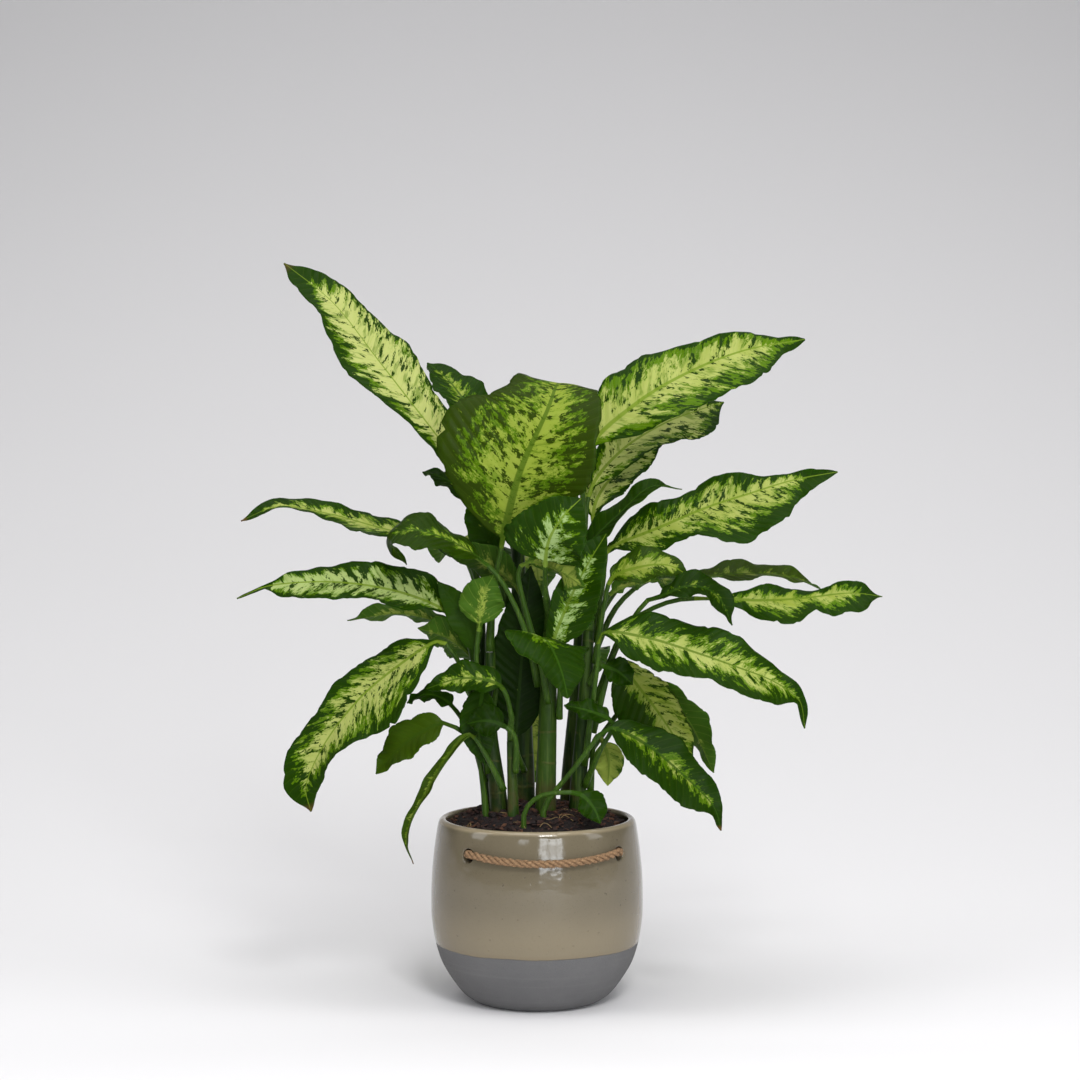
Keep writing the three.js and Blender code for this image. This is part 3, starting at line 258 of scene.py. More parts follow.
# rear
leaf("rear_high", ("back_right", 380, -150), [(40, 56, 450)],
    [(34, 86, 490), (24, 132, 510), (14, 182, 505), (8, 218, 480)], 33, (0, -0.3, 0.95), tip_face=(0, 0.4, 0.9))
leaf("rear_left", ("back_left", 330, 180), [(-58, 58, 380)],
    [(-68, 90, 408), (-80, 130, 424), (-92, 165, 420), (-100, 195, 402)], 28, (0, -0.2, 0.95),
    tip_face=(-0.3, 0.4, 0.85))
leaf("rear_right", ("back_right", 295, 170), [(58, 60, 350)],
    [(80, 86, 384), (104, 122, 398), (124, 162, 392), (134, 192, 370)], 26, (0, -0.2, 0.95),
    tip_face=(0.3, 0.4, 0.85))
leaf("rear_mid", ("back", 330, 180), [(-14, 62, 380)], [(-10, 94, 405), (-4, 142, 412), (0, 192, 395), (2, 226, 362)],
    32, (0, -0.2, 0.95), tip_face=(0, 0.6, 0.8))
leaf("rear_low_left", ("back_left", 235, 170), [(-46, 62, 285)],
    [(-46, 90, 302), (-50, 132, 300), (-54, 170, 276), (-56, 196, 244)], 27, (0, -0.1, 0.98),
    tip_face=(-0.2, 0.6, 0.8))
leaf("rear_low_right", ("back_right", 215, 175), [(36, 62, 270)],
    [(40, 92, 308), (44, 136, 318), (48, 176, 302), (50, 206, 272)], 28, (0, -0.1, 0.98), tip_face=(0.2, 0.6, 0.8))
leaf("rear_low", ("back", 225, 180), [(-10, 64, 258)],
    [(-8, 92, 264), (-6, 130, 248), (-4, 158, 216), (-2, 176, 180)], 25, (0, 0.1, 0.98), tip_face=(0, 0.8, 0.6))

# -------- curves


def on_curve(points, places):
    """Points at places on a smooth curve through the points; whole numbers are the points."""
    p = np.asarray(points, float)
    s = np.atleast_1d(np.asarray(places, float))
    p = np.vstack([2 * p[0] - p[1], p, 2 * p[-1] - p[-2]])
    i = np.clip(np.floor(s).astype(int), 0, len(points) - 2)
    t = (s - i)[:, None]
    p0, p1, p2, p3 = p[i], p[i + 1], p[i + 2], p[i + 3]
    m1, m2, d = (p2 - p0) / 2, (p3 - p1) / 2, p2 - p1
    return p1 + t * (m1 + t * (3 * d - 2 * m1 - m2 + t * (m1 + m2 - 2 * d)))


def directions(points, places):
    last, near = len(points) - 1, 0.02
    s = np.atleast_1d(np.asarray(places, float))
    return unit(on_curve(points, np.minimum(s + near, last)) - on_curve(points, np.maximum(s - near, 0)))


def unit(v):
    return v / np.linalg.norm(v, axis=-1, keepdims=True)


def places_at(points, start, end, shares):
    """Places on the curve at the given shares of its length between two of its points, and that length."""
    steps = np.linspace(start, end, 161)
    walked = np.linalg.norm(np.diff(on_curve(points, steps), axis=0), axis=1)
    length = np.concatenate([[0], np.cumsum(walked)])
    return np.interp(np.asarray(shares) * length[-1], length, steps), length[-1]


def around(radius, degrees, height):
    """A point at a radius and a turn from the front, seen from above."""
    a = math.radians(degrees)
    return np.array([radius * math.sin(a), -radius * math.cos(a), height])


def full_circle(sides):
    return np.linspace(0, FULL_TURN, sides, endpoint=False)


def circles(profile, sides):
    """Rings round the vertical axis through a profile's (radius, height) rows."""
    return [[(r * math.cos(a), r * math.sin(a), z) for a in full_circle(sides)] for r, z in profile]


def turned(a, b, angle):
    return a * math.cos(angle) - b * math.sin(angle), a * math.sin(angle) + b * math.cos(angle)


# -------- meshes


def make_object(name, vertices, faces, materials=(), slots=None, uvs=None, smooth_faces=True):
    """A mesh object in metres from millimetre points. uvs: {layer: one (u, v) per vertex}."""
    mesh = bpy.data.meshes.new(name)
    mesh.from_pydata([tuple(p) for p in np.asarray(vertices) * MM], [], faces)
    for material in materials:
        mesh.materials.append(material)
    if slots is not None:
        mesh.polygons.foreach_set("material_index", slots)
    if uvs:
        corner = np.empty(len(mesh.loops), int)
        mesh.loops.foreach_get("vertex_index", corner)
        for layer, values in uvs.items():
            made = mesh.uv_layers.new(name=layer)
            made.data.foreach_set("uv", np.asarray(values, float)[corner].ravel())
    if smooth_faces:
        make_smooth(mesh)
    mesh.update()
    piece = bpy.data.objects.new(name, mesh)
    bpy.context.collection.objects.link(piece)
    return piece


def make_smooth(mesh):
    mesh.polygons.foreach_set("use_smooth", [True] * len(mesh.polygons))


def stands_for(piece, node, slot):
    """The piece rides on the one body, in the place of a node."""
    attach(piece, BODY)
    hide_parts(node)
    return piece


def loft(rings, slot_of=None):
    """Points, faces and slots through closed rings of points, with a flat end on each side."""
    count, sides = rings.shape[:2]
    faces, slots = [], []
    for r in range(count - 1):
        for k in range(sides):
            a, b = r * sides + k, r * sides + (k + 1) % sides
            faces.append((a, b, b + sides, a + sides))
            slots.append(slot_of(r, k) if slot_of else 0)
    end = (count - 1) * sides
    faces.append(tuple(reversed(range(sides))))
    faces.append(tuple(range(end, end + sides)))
    slots += [slots[0], slots[-1]]
    return rings.reshape(-1, 3), faces, slots


def side_frames(points, places):
    """Two directions across a curve that do not twist along it."""
    along = directions(points, places)
    side = np.array([1.0, 0, 0]) if abs(along[0][0]) < 0.8 else np.array([0, 1.0, 0])
    sides = []
    for a in along:
        side = unit(side - a * np.dot(side, a))
        sides.append(side)
    sides = np.array(sides)
    return sides, np.cross(along, sides)


def sections(centres, across, up, angles, radii):
    """A ring of points about each centre."""
    ring = across[:, None] * np.cos(angles)[None, :, None] + up[:, None] * np.sin(angles)[None, :, None]
    return centres[:, None] + ring * radii[:, None, None]


def tube(points, radii, sides, places=None):
    """Points and faces of a round tube along a curve; radii is one number, or one for each place."""
    places = np.arange(len(points)) if places is None else places
    radii = np.broadcast_to(np.asarray(radii, float), (len(places),))
    rings = sections(on_curve(points, places), *side_frames(points, places), full_circle(sides), radii)
    return loft(rings)[:2]


def joined(parts):
    """One set of points and faces from several, with the slot of each part."""
    vertices, faces, slots, offset = [], [], [], 0
    for points, part_faces, slot in parts:
        vertices.append(points)
        faces += [tuple(i + offset for i in f) for f in part_faces]
        slots += [slot] * len(part_faces)
        offset += len(points)
    return np.vstack(vertices), faces, slots


# -------- materials


def rgb(screen):
    """A screen colour, 0 to 255, as Blender's linear colour."""
    values = [c / 255 for c in screen]
    return (*[c / 12.92 if c <= 0.04045 else ((c + 0.055) / 1.055) ** 2.4 for c in values], 1.0)


class Value:
    """What a node gives, so that sums and products of nodes can be written as such."""

    def __init__(self, nodes, socket):
        self.nodes, self.socket = nodes, socket

    def __add__(self, other):
        return self.nodes.math("ADD", self, other)

    def __sub__(self, other):
        return self.nodes.math("SUBTRACT", self, other)

    def __rsub__(self, other):
        return self.nodes.math("SUBTRACT", other, self)

    def __mul__(self, other):
        return self.nodes.math("MULTIPLY", self, other)

    __radd__, __rmul__ = __add__, __mul__


class Nodes:
    """A short way to write a material's nodes."""

    def __init__(self, name):
        self.material = bpy.data.materials.new(name)
        self.material.use_nodes = True
        self.tree = self.material.node_tree
        self.shader = self.tree.nodes["Principled BSDF"]

    def put(self, socket, value):
        if isinstance(value, Value):
            self.tree.links.new(value.socket, socket)
        else:
            socket.default_value = value

    def make(self, kind, inputs=None, **settings):
        made = self.tree.nodes.new("ShaderNode" + kind)
        for key, value in settings.items():
            setattr(made, key, value)
        for key, value in (inputs or {}).items():
            self.put(made.inputs[key], value)
        return made

    def get(self, kind, output, inputs=None, **settings):
        return Value(self, self.make(kind, inputs, **settings).outputs[output])

    def math(self, operation, a, b=0.0, clamp=False):
        return self.get("Math", 0, {0: a, 1: b}, operation=operation, use_clamp=clamp)

    def step(self, low, high, value):
        """Rises smoothly from 0 at low to 1 at high."""
        return self.get("MapRange", 0, {0: value, 1: low, 2: high}, interpolation_type="SMOOTHSTEP")

    def noise(self, scale, detail, rough=0.55, at=None, distort=0.0):
        inputs = {"Vector": at or self.place(), "Scale": scale, "Detail": detail, "Roughness": rough}
        return self.get("TexNoise", "Fac", {**inputs, "Distortion": distort})

    def vector(self, x, y=0.0, z=0.0):
        return self.get("CombineXYZ", 0, {0: x, 1: y, 2: z})

    def split(self, vector):
        return [Value(self, socket) for socket in self.make("SeparateXYZ", {0: vector}).outputs]

    def mix(self, share, a, b):
        a, b = (rgb(c) if isinstance(c, tuple) else c for c in (a, b))
        return self.get("Mix", 2, {0: share, 6: a, 7: b}, data_type="RGBA")

    def coats(self, colour, *coats):
        """The colour under others, each given with its share."""
        for share, coat in coats:
            colour = self.mix(share, colour, coat)
        return colour

    def tints(self, colour, **tints):
        """The colour, moved to each tint by the share of it that the object carries."""
        return self.coats(colour, *[(self.own(name), tint) for name, tint in tints.items()])

    def ramp(self, value, *stops):
        made = self.make("ValToRGB", {0: value})
        elements = made.color_ramp.elements
        for element, (place, colour) in ((elements[0], stops[0]), (elements[1], stops[-1])):
            element.position, element.color = place, rgb(colour)
        for place, colour in stops[1:-1]:
            elements.new(place).color = rgb(colour)
        return Value(self, made.outputs[0])

    def uv(self, layer):
        return self.get("UVMap", 0, uv_map=layer)

    def place(self):
        return self.get("TexCoord", "Object")

    def own(self, name):
        """A number that the object itself carries."""
        return self.get("Attribute", "Fac", attribute_type="OBJECT", attribute_name=name)

    def bump(self, height, strength, distance):
        return self.get("Bump", 0, {"Height": height, "Strength": strength, "Distance": distance})

    def set(self, **sockets):
        for key, value in sockets.items():
            self.put(self.shader.inputs[key.replace("_", " ").title().replace("Ior", "IOR")], value)
        return self.material


VEIN_SPACING = 0.85  # centimetres


def leaf_pattern(n):
    """Masks of a leaf's colours, from its own coordinates."""
    t, u, _ = n.split(n.uv("Blade"))
    q, d, _ = n.split(n.uv("Vein"))
    seed, own_pale, grain = n.own("seed"), n.own("pale"), n.own("grain")
    reach = n.math("ABSOLUTE", u)

    def streaks(across, along, shift, detail=4.0, rough=0.6):
        """Noise about zero, drawn out along the side veins."""
        return n.noise(1, detail, rough, n.vector(q * across, d * along, seed + shift), 0.3) - 0.5

    broad = streaks(0.9, 0.42, 0)
    fleck = streaks(grain * 2.1, grain * 1.1, 7)
    fine = streaks(7, 4, 13, 3)
    cloud = streaks(1.5, 0.55, 23)
    # how far out a point is: the pale part lies inside its share, the dark margin outside it and the halo
    at_tip, at_base = n.step(0.76, 0.96, t), n.step(0.14, -0.05, t)
    edge = reach + u * n.own("skew") + at_tip * n.own("tip") + at_base * n.own("base") + t * n.own("taper")
    pale = n.step(-0.1, 0.2, own_pale - (edge + broad * 1.9 + fleck * 1.5 + fine * 1.1))
    outside = edge + n.step(0.7, 1, reach) * 0.35 + broad * 1.2 + fleck * 2.2 + fine - own_pale
    dark = n.step(0, 0.07, outside - n.own("halo"))
    # blotches gather in clouds, each with a mid-green rim
    gather = n.step(-0.1, 0.12, cloud) * 0.05
    over = fleck + fine * 0.38 + edge * 0.07 + gather - (0.33 - n.own("blotch"))
    tinge = n.step(-0.05, 0.02, over) * 0.4 + n.step(0.02, 0.16, cloud + edge * 0.06) * 0.6
    rib_width = (1 - t) * n.own("rib") + 0.04
    wave = n.math("SINE", q * (FULL_TURN / VEIN_SPACING))
    return SimpleNamespace(
        pale=pale * n.math("SUBTRACT", 1.0, tinge, clamp=True),
        dark=n.math("MAXIMUM", dark, n.step(0, 0.022, over)),
        rib=n.step(1, 0.6, n.math("DIVIDE", n.math("ABSOLUTE", d), rib_width)),
        vein=n.step(0.93, 1, wave), wave=wave, hue=streaks(0.5, 0.3, 19, 3, 0.5) + 0.5,
        t=t, reach=reach, q=q, d=d, fine=fine,
    )



def leaf_finish(n, p, colour, rough, strength):
    """The blade swells between its side veins, with a fine grain on top."""
    swell = (p.wave + 1) * n.step(0.02, 0.25, p.reach)
    grain = n.noise(1, 3, 0.6, n.vector(p.q * 7, p.d * 7))
    return n.set(
        base_color=colour, roughness=p.fine * 0.2 + rough, specular_ior_level=0.05,
        normal=n.bump(swell * -0.5 + grain * 0.5, strength, 0.0012),
        subsurface_weight=0.1, subsurface_scale=0.003, subsurface_radius=(0.5, 1.0, 0.25),
    )


def leaf_top():
    n = Nodes("leaf_top")
    p = leaf_pattern(n)
    deep = n.tints(n.mix(p.hue, (14, 38, 0), (28, 54, 0)), olive=(40, 54, 2), fresh=(52, 86, 8))
    middle = n.mix(p.hue, (56, 88, 0), (86, 118, 10))
    light = n.mix(n.step(0.35, 0.65, p.hue), (128, 143, 48), (150, 159, 80))
    light = n.tints(light, olive=(134, 152, 50), cream=(172, 177, 108), white=(148, 172, 112))
    midrib = n.mix(n.own("olive"), (102, 126, 30), (60, 88, 14))
    midrib = n.mix(n.step(0.1, 0.5, n.own("pale")), (44, 74, 12), midrib)
    colour = n.coats(
        middle,
        (p.pale, light),
        (p.dark * 0.96, deep),
        (p.vein * (0.26 - p.dark * 0.22), (126, 148, 50)),
        (p.rib * 0.85, midrib),
    )
    # the last tint, towards near black, is painted shade on leaves that lie in the plant's shade
    colour = n.tints(colour, dull=(66, 80, 18), shade=(6, 18, 0))
    colour = n.mix(n.step(0.955, 0.985, p.t) * n.own("brown"), colour, (92, 62, 36))
    return leaf_finish(n, p, colour, 0.4, 0.32)


def leaf_under():
    n = Nodes("leaf_under")
    p = leaf_pattern(n)
    green = n.mix(p.hue, (44, 76, 18), (68, 98, 24))
    colour = n.coats(
        green,
        (p.pale * 0.85, (142, 156, 66)),
        (p.dark * 0.7, green),
        (p.vein * 0.3, (112, 134, 52)),
        (p.rib * 0.7, (92, 118, 38)),
        # painted shade: the underside darkens for leaves that lie in the plant's shade
        (n.own("shade"), (10, 22, 2)),
    )
    return leaf_finish(n, p, colour, 0.55, 0.4)


def leaf_stalk():
    n = Nodes("leaf_stalk")
    x, y, z = n.split(n.place())
    fibres = n.noise(1, 3, at=n.vector(x * 900, y * 900, z * 30))
    colour = n.mix(n.noise(45, 3, 0.6), (26, 50, 4), (54, 84, 16))
    colour = n.mix(n.step(0.5, 0.7, fibres) * 0.3, colour, (104, 128, 46))
    return n.set(base_color=colour, roughness=0.45, normal=n.bump(fibres, 0.3, 0.0006), specular_ior_level=0.15)


# -------- leaves


def stalk_start(name, *where):
    """The first points of a stalk and the radius of its lower end."""
    if name == "soil":
        return [], where[0]
    path, radii = CANES["cane_" + name]["path"], CANES["cane_" + name]["r"]
    last, gap, radius = len(path) - 1, 0.4, 3.4
    if not where:
        top, along = np.array(path[-1], float), directions(path, last)[0]
        return [top + along * gap, top + along * 14], radii[-1] * 0.94
    height, turn = where
    places = np.linspace(0, last, 400)
    place = float(np.interp(height, on_curve(path, places)[:, 2], places))
    beside = float(np.interp(place, range(last + 1), radii)) + radius + gap
    return [on_curve(path, place)[0] + around(beside, turn, 0)], radius


def outline(t, widest):
    """Share of the half width along a blade, 1 where it is widest."""
    bend = math.log(0.5) / math.log(widest)
    belly = np.sin(math.pi * np.clip(t, 0, 1) ** bend)
    return np.maximum(belly, 0) ** 0.68 * (1 - 0.45 * t**7)


def leaf_arrays(leaf, number):
    """Points, faces, slots (upper side, underside, stalk) and coordinates of a leaf."""
    start, foot = stalk_start(*leaf["on"])
    stalk = [*start, *leaf["stalk"]]
    points = np.array([*stalk, *leaf["midrib"]], float)
    first, last = len(stalk), len(points) - 1
    face = np.array(leaf["face"], float)
    tip_face = np.array(leaf.get("tip_face", leaf["face"]), float)
    fold = math.radians(leaf.get("fold", 12))
    wave_height, waves, phase = leaf.get("wave", (3, 2.5, 0))
    lean, curl, width = leaf.get("lean", 0), leaf.get("curl", 0), leaf["half"]
    stalk_rings, columns = LEAF["stalk_rings"], LEAF["columns"]
    blade_rings = LEAF["small_rings"] if width < LEAF["small"] else LEAF["rings"]

    def frames(places, t):
        """Centre, upward and sideways direction of each ring; the blade turns from face to tip_face."""
        along = directions(points, places)
        up = face + (tip_face - face) * np.atleast_1d(t)[:, None]
        up = unit(up - along * np.sum(up * along, axis=1, keepdims=True))
        return on_curve(points, places), up, np.cross(along, up)

    # the stalk: a round section whose points are spread over the same columns as the blade's
    shares = np.arange(stalk_rings) / stalk_rings
    places, _ = places_at(points, 0, first, shares)
    centres, up, side = frames(places, np.zeros(stalk_rings))
    radius = foot + (LEAF["petiole"] - foot) * np.minimum(1.6 * shares, 1)
    half_turn = np.linspace(math.pi * 0.96, math.pi * 0.04, columns + 1)
    stalk_part = sections(centres, side, up, np.concatenate([half_turn, -half_turn[::-1]]), radius)

    # the blade: its rings lie closer at the base and tip
    even = np.linspace(0, 1, blade_rings + 1)
    t = 0.6 * even + 0.4 * (1 - np.cos(math.pi * even)) / 2
    places, length = places_at(points, first, last, t)
    centres, up, side = frames(places, t)
    least = LEAF["petiole"] + 0.6
    half = np.maximum(width * outline(t, leaf.get("widest", 0.42)), least + (LEAF["tip"] - least) * t)
    rib = (LEAF["rib"] * (1 - t) ** 1.2)[:, None]
    T, U = t[:, None], np.linspace(-1, 1, columns + 1)[None, :]
    reach, on_left = np.abs(U), U < 0
    # the sides rise by the fold, roll down by the curl and wave at the margin
    shift = np.where(on_left, 1.1, 0)
    turn = FULL_TURN * waves * T + phase + 2 * shift
    ripple = 0.22 * np.sin(FULL_TURN * (2.6 * waves * T) + 3 * phase + shift + number)
    lift = half[:, None] * (reach * math.sin(fold) - curl * reach**2)
    lift = lift + wave_height * (reach**2 * np.sin(turn) + reach**3 * ripple)
    share = np.minimum(half / (0.4 * width), 1)[:, None]
    trim = {0: (1, 1), 1: (1, 1), **leaf.get("trim", {})}
    trim_at = sorted(trim)
    left, right = (np.interp(t, trim_at, [trim[place][side] for place in trim_at])[:, None] for side in (0, 1))
    # small notches in the margin, inward only
    notch = 0.022 * (np.sin(71 * T + 2 * number) + np.sin(113 * T + number)) + 0.014 * np.sin(197 * T + 3 * number)
    notch = 1 - reach**3 * np.clip(notch + 0.03 * np.sign(U) * np.sin(47 * T + number), 0, 1)
    across = U * half[:, None] * math.cos(fold) * (1 + lean * np.sign(U)) * np.where(on_left, left, right) * notch
    middle = centres[:, None] + side[:, None] * across[:, :, None] + up[:, None] * (lift * share)[:, :, None]
    ridge = rib * np.exp(-((np.abs(across) / (0.5 * rib + 0.5)) ** 2))
    thick = LEAF["thickness"] / 2 * (1 - 0.55 * reach**6)
    top = middle + up[:, None] * (thick + 0.12 * ridge)[:, :, None]
    under = middle - up[:, None] * (thick + ridge)[:, :, None]
    rings = np.concatenate([stalk_part, np.concatenate([top, under[:, ::-1]], axis=1)])

    def slot_of(ring, column):
        if ring < stalk_rings - 1:
            return 2
        return 0 if column < columns or column == 2 * columns + 1 else 1

    # coordinates of the pattern, in centimetres along the midrib and away from it
    away = across / 10
    slant, bow = leaf.get("veins", (0.6, 0.05))
    from_rib = T * length / 10 - slant * np.abs(away) - bow * away**2 + number * 31.7
    uvs = {}
    for layer, u, v in (("Blade", T + 0 * U, U + 0 * T), ("Vein", from_rib, away)):
        blade = np.stack([u, v], -1)
        blade = np.concatenate([blade, blade[:, ::-1]], axis=1)
        uvs[layer] = np.concatenate([np.zeros((stalk_rings, *blade.shape[1:])), blade]).reshape(-1, 2)
    return *loft(rings, slot_of), uvs


leaf_skins = [leaf_top(), leaf_under(), leaf_stalk()]
for leaf_number, (leaf_name, leaf_row) in enumerate(LEAVES.items()):
    vertices, faces, slots, uvs = leaf_arrays(leaf_row, leaf_number)
    skins = [leaf_skins[0], leaf_skins[0 if leaf_row.get("both_top") else 1], leaf_skins[2]]
    leaf_piece = make_object(leaf_name + "_look", vertices, faces, skins, slots, uvs)
    for key, usual in LOOK.items():
        leaf_piece[key] = float(leaf_row.get(key, usual))
    leaf_piece["seed"] = leaf_number * 3.17
    stands_for(leaf_piece, leaf_name, SLOTS[leaf_name])

# -------- canes


def cane_skin():
    n = Nodes("cane_skin")
    x, y, z = n.split(n.place())
    fibres = n.noise(1, 4, at=n.vector(x * 700, y * 700, z * 25))
    patch = n.noise(38, 4, 0.6)
    tilt = n.noise(30, 2, 0.5) * 0.012 + z
    rings = n.step(0.94, 1.0, n.math("SINE", (tilt + n.own("shift")) * (FULL_TURN / 0.029)))
    broken = rings * n.step(0.42, 0.6, n.noise(90, 2, 0.5))
    streak = n.noise(1, 3, at=n.vector(x * 160, y * 160, z * 9))
    colour = n.coats(
        n.mix(patch, (14, 32, 4), (36, 62, 12)),
        (n.own("tone"), n.mix(patch, (38, 66, 8), (70, 98, 24))),
        (n.step(0.52, 0.7, fibres) * 0.25, (96, 112, 44)),
        (n.step(0.25, 0.17, z) * n.step(0.45, 0.6, patch), (66, 60, 30)),
        (broken * 0.5, (78, 78, 38)),
        (n.step(0.54, 0.64, streak) * 0.4, (72, 98, 30)),
    )
    skin = n.bump(fibres + broken, 0.35, 0.0008)
    return n.set(base_color=colour, roughness=0.5, normal=skin, specular_ior_level=0.15)


def make_cane(name, cane, skin):
    """A cane with a low ring at each old leaf."""
    last, ring_gap, ring_width = len(cane["path"]) - 1, 26.0, 1.6
    places = np.linspace(0, last, 90)
    radii = np.interp(places, range(last + 1), cane["r"]) * 0.985
    heights = on_curve(cane["path"], places)[:, 2] + len(name) * 5
    ring = np.exp(-((heights % ring_gap - ring_gap / 2) / ring_width) ** 2)
    piece = make_object(name + "_look", *tube(cane["path"], radii * (1 + 0.014 * ring), 24, places), [skin])
    piece["tone"] = cane.get("tone", 0.0)
    piece["shift"] = len(name) * 0.0037
    stands_for(piece, name, "cane")


cane_material = cane_skin()
for cane_name, cane_row in CANES.items():
    make_cane(cane_name, cane_row, cane_material)

# -------- pot


def pot_material():
    n = Nodes("pot_glaze_and_clay")
    x, y, z = n.split(n.place())
    wander = n.noise(22, 4, 0.6) - 0.5
    line = wander * 0.004 + z
    glaze_line = POT["glaze"] * MM
    glazed = n.step(glaze_line - 0.0005, glaze_line + 0.0005, line)
    cloud = n.noise(16, 5, 0.6)
    speck = n.noise(750, 2, 0.6)
    pinhole = n.step(0.74, 0.78, n.noise(240, 1, 0.5))
    glaze = n.coats(
        n.mix(cloud, (98, 90, 73), (113, 104, 85)),
        (n.step(0.58, 0.72, speck) * 0.35, (78, 70, 54)),
        (pinhole * 0.5, (70, 60, 46)),
        (n.step(0.0615, 0.0572, line) * glazed * 0.5, (96, 84, 64)),  # the darker run at the glaze line
        (n.step(0.108, 0.068, line) * 0.4, (148, 135, 110)),  # lighter towards the line: a painted reflection of the bright floor on the lower wall
        (n.step(0.168, 0.1708, wander * 0.002 + z) * 0.7, (156, 142, 116)),  # thin on the lip
    )
    grit = n.noise(1100, 3, 0.7)
    rings = n.noise(1, 2, 0.5, n.vector(x * 6, y * 6, z * 420))
    clay = n.coats(
        n.mix(n.noise(20, 5, 0.65), (86, 86, 87), (106, 105, 105)),
        (n.step(0.5, 0.7, grit) * 0.35, (68, 68, 70)),
        (n.step(0.5, 0.75, rings) * 0.15, (124, 122, 121)),
    )
    rough_skin = (1 - glazed) * (grit * 0.00035 + rings * 0.00015)
    height = glazed * 0.0009 + rough_skin + n.noise(34, 3, 0.5) * 0.0007 + pinhole * -0.0003
    rough = glazed * -0.66 + 0.74 + cloud * 0.06
    return n.set(base_color=n.mix(glazed, clay, glaze), roughness=rough, normal=n.bump(height, 1.0, 1.0))


def make_pot():
    corners = POT["outer"] + POT["lip"] + POT["inner"]
    rounded = on_curve([(r, z, 0) for r, z in corners], np.linspace(0, len(corners) - 1, POT["steps"]))
    profile = [*POT["foot"], *[tuple(p) for p in rounded[:, :2]], *POT["floor"]]
    vertices, faces, _ = loft(np.array(circles(profile, POT["sides"])))
    pot = make_object("pot_look", vertices, faces, [pot_material()])
    for name in ("left", "right"):
        cut_hole(pot, around(90, HOLE[name], HOLE["height"]), HOLE[name])
    make_smooth(pot.data)
    stands_for(pot, "pot", "glaze")


def cut_hole(pot, centre, degrees):
    """A round hole through the wall; the cutter widens outwards and inwards, which softens the hole's edges."""
    out = unit(around(1, degrees, 0))
    widths = {-20: 1.45, -3.4: 1.25, -1.5: 1.05, 0: 1, 3: 1, 5.2: 1.02, 7.4: 1.12, 9.0: 1.3, 20: 1.6}
    path = [centre + out * s for s in widths]
    cutter = make_object("cutter", *tube(path, [HOLE["radius"] * w for w in widths.values()], 32))
    cut = pot.modifiers.new("cut", "BOOLEAN")
    cut.operation, cut.solver, cut.object = "DIFFERENCE", "EXACT", cutter
    graph = bpy.context.evaluated_depsgraph_get()
    mesh = bpy.data.meshes.new_from_object(pot.evaluated_get(graph))
    pot.modifiers.clear()
    pot.data = mesh
    bpy.data.objects.remove(cutter)


make_pot()

# -------- rope


def rope_path():
    """From knot to knot: out at the left hole, in a sag along the front of the wall, and in at the right hole."""
    height, left, right = ROPE["height"], HOLE["left"], HOLE["right"]
    heights, radii = [z for _, z in POT["outer"]], [r for r, _ in POT["outer"]]
    path = [around(ROPE["knot_at"], left, height), around(90, left, height)]
    path.append(around(ROPE["mouth_at"], left + 0.4, height))
    for t in np.linspace(0, 1, 11):
        z = height + 0.4 - ROPE["sag"] * (1 - (2 * t - 1) ** 2)
        wall = float(np.interp(z, heights, radii)) + ROPE["radius"] + ROPE["gap"]
        path.append(around(wall, left + 5 + (right - left - 10) * t, z))
    path.append(around(ROPE["mouth_at"], right - 0.4, height))
    return np.array(path + [around(90, right, height), around(ROPE["knot_at"], right, height)])


def rope_material():
    n = Nodes("jute")
    s, a, _ = n.split(n.uv("Lay"))
    twist = n.math("SINE", s * (FULL_TURN / 1.1) + a * FULL_TURN)
    fibre = n.noise(1, 4, 0.7, n.vector(a * 9 + s * 9, s))
    colour = n.mix(n.step(0.2, 0.8, fibre), (72, 50, 32), (178, 142, 104))
    # darker in the troughs of the twist: painted shade in the grooves between the yarns
    colour = n.mix(n.step(0.2, -1.0, twist) * 0.2, colour, (58, 40, 26))
    return n.set(base_color=colour, roughness=0.9, normal=n.bump(twist * 0.2 + fibre, 0.6, 0.0005))


def make_rope_piece(name, parts, material):
    """parts: points, faces and coordinates of each."""
    vertices, faces, _ = joined([(points, part_faces, 0) for points, part_faces, _ in parts])
    piece = make_object(name, vertices, faces, [material], uvs={"Lay": np.vstack([lay for *_, lay in parts])})
    return stands_for(piece, "rope", "jute")


def lay_of(lengths, sides):
    """Coordinates of a tube: the length along it and the share of a turn round it."""
    return np.stack([np.repeat(lengths, sides), np.tile(np.arange(sides) / sides, len(lengths))], -1)


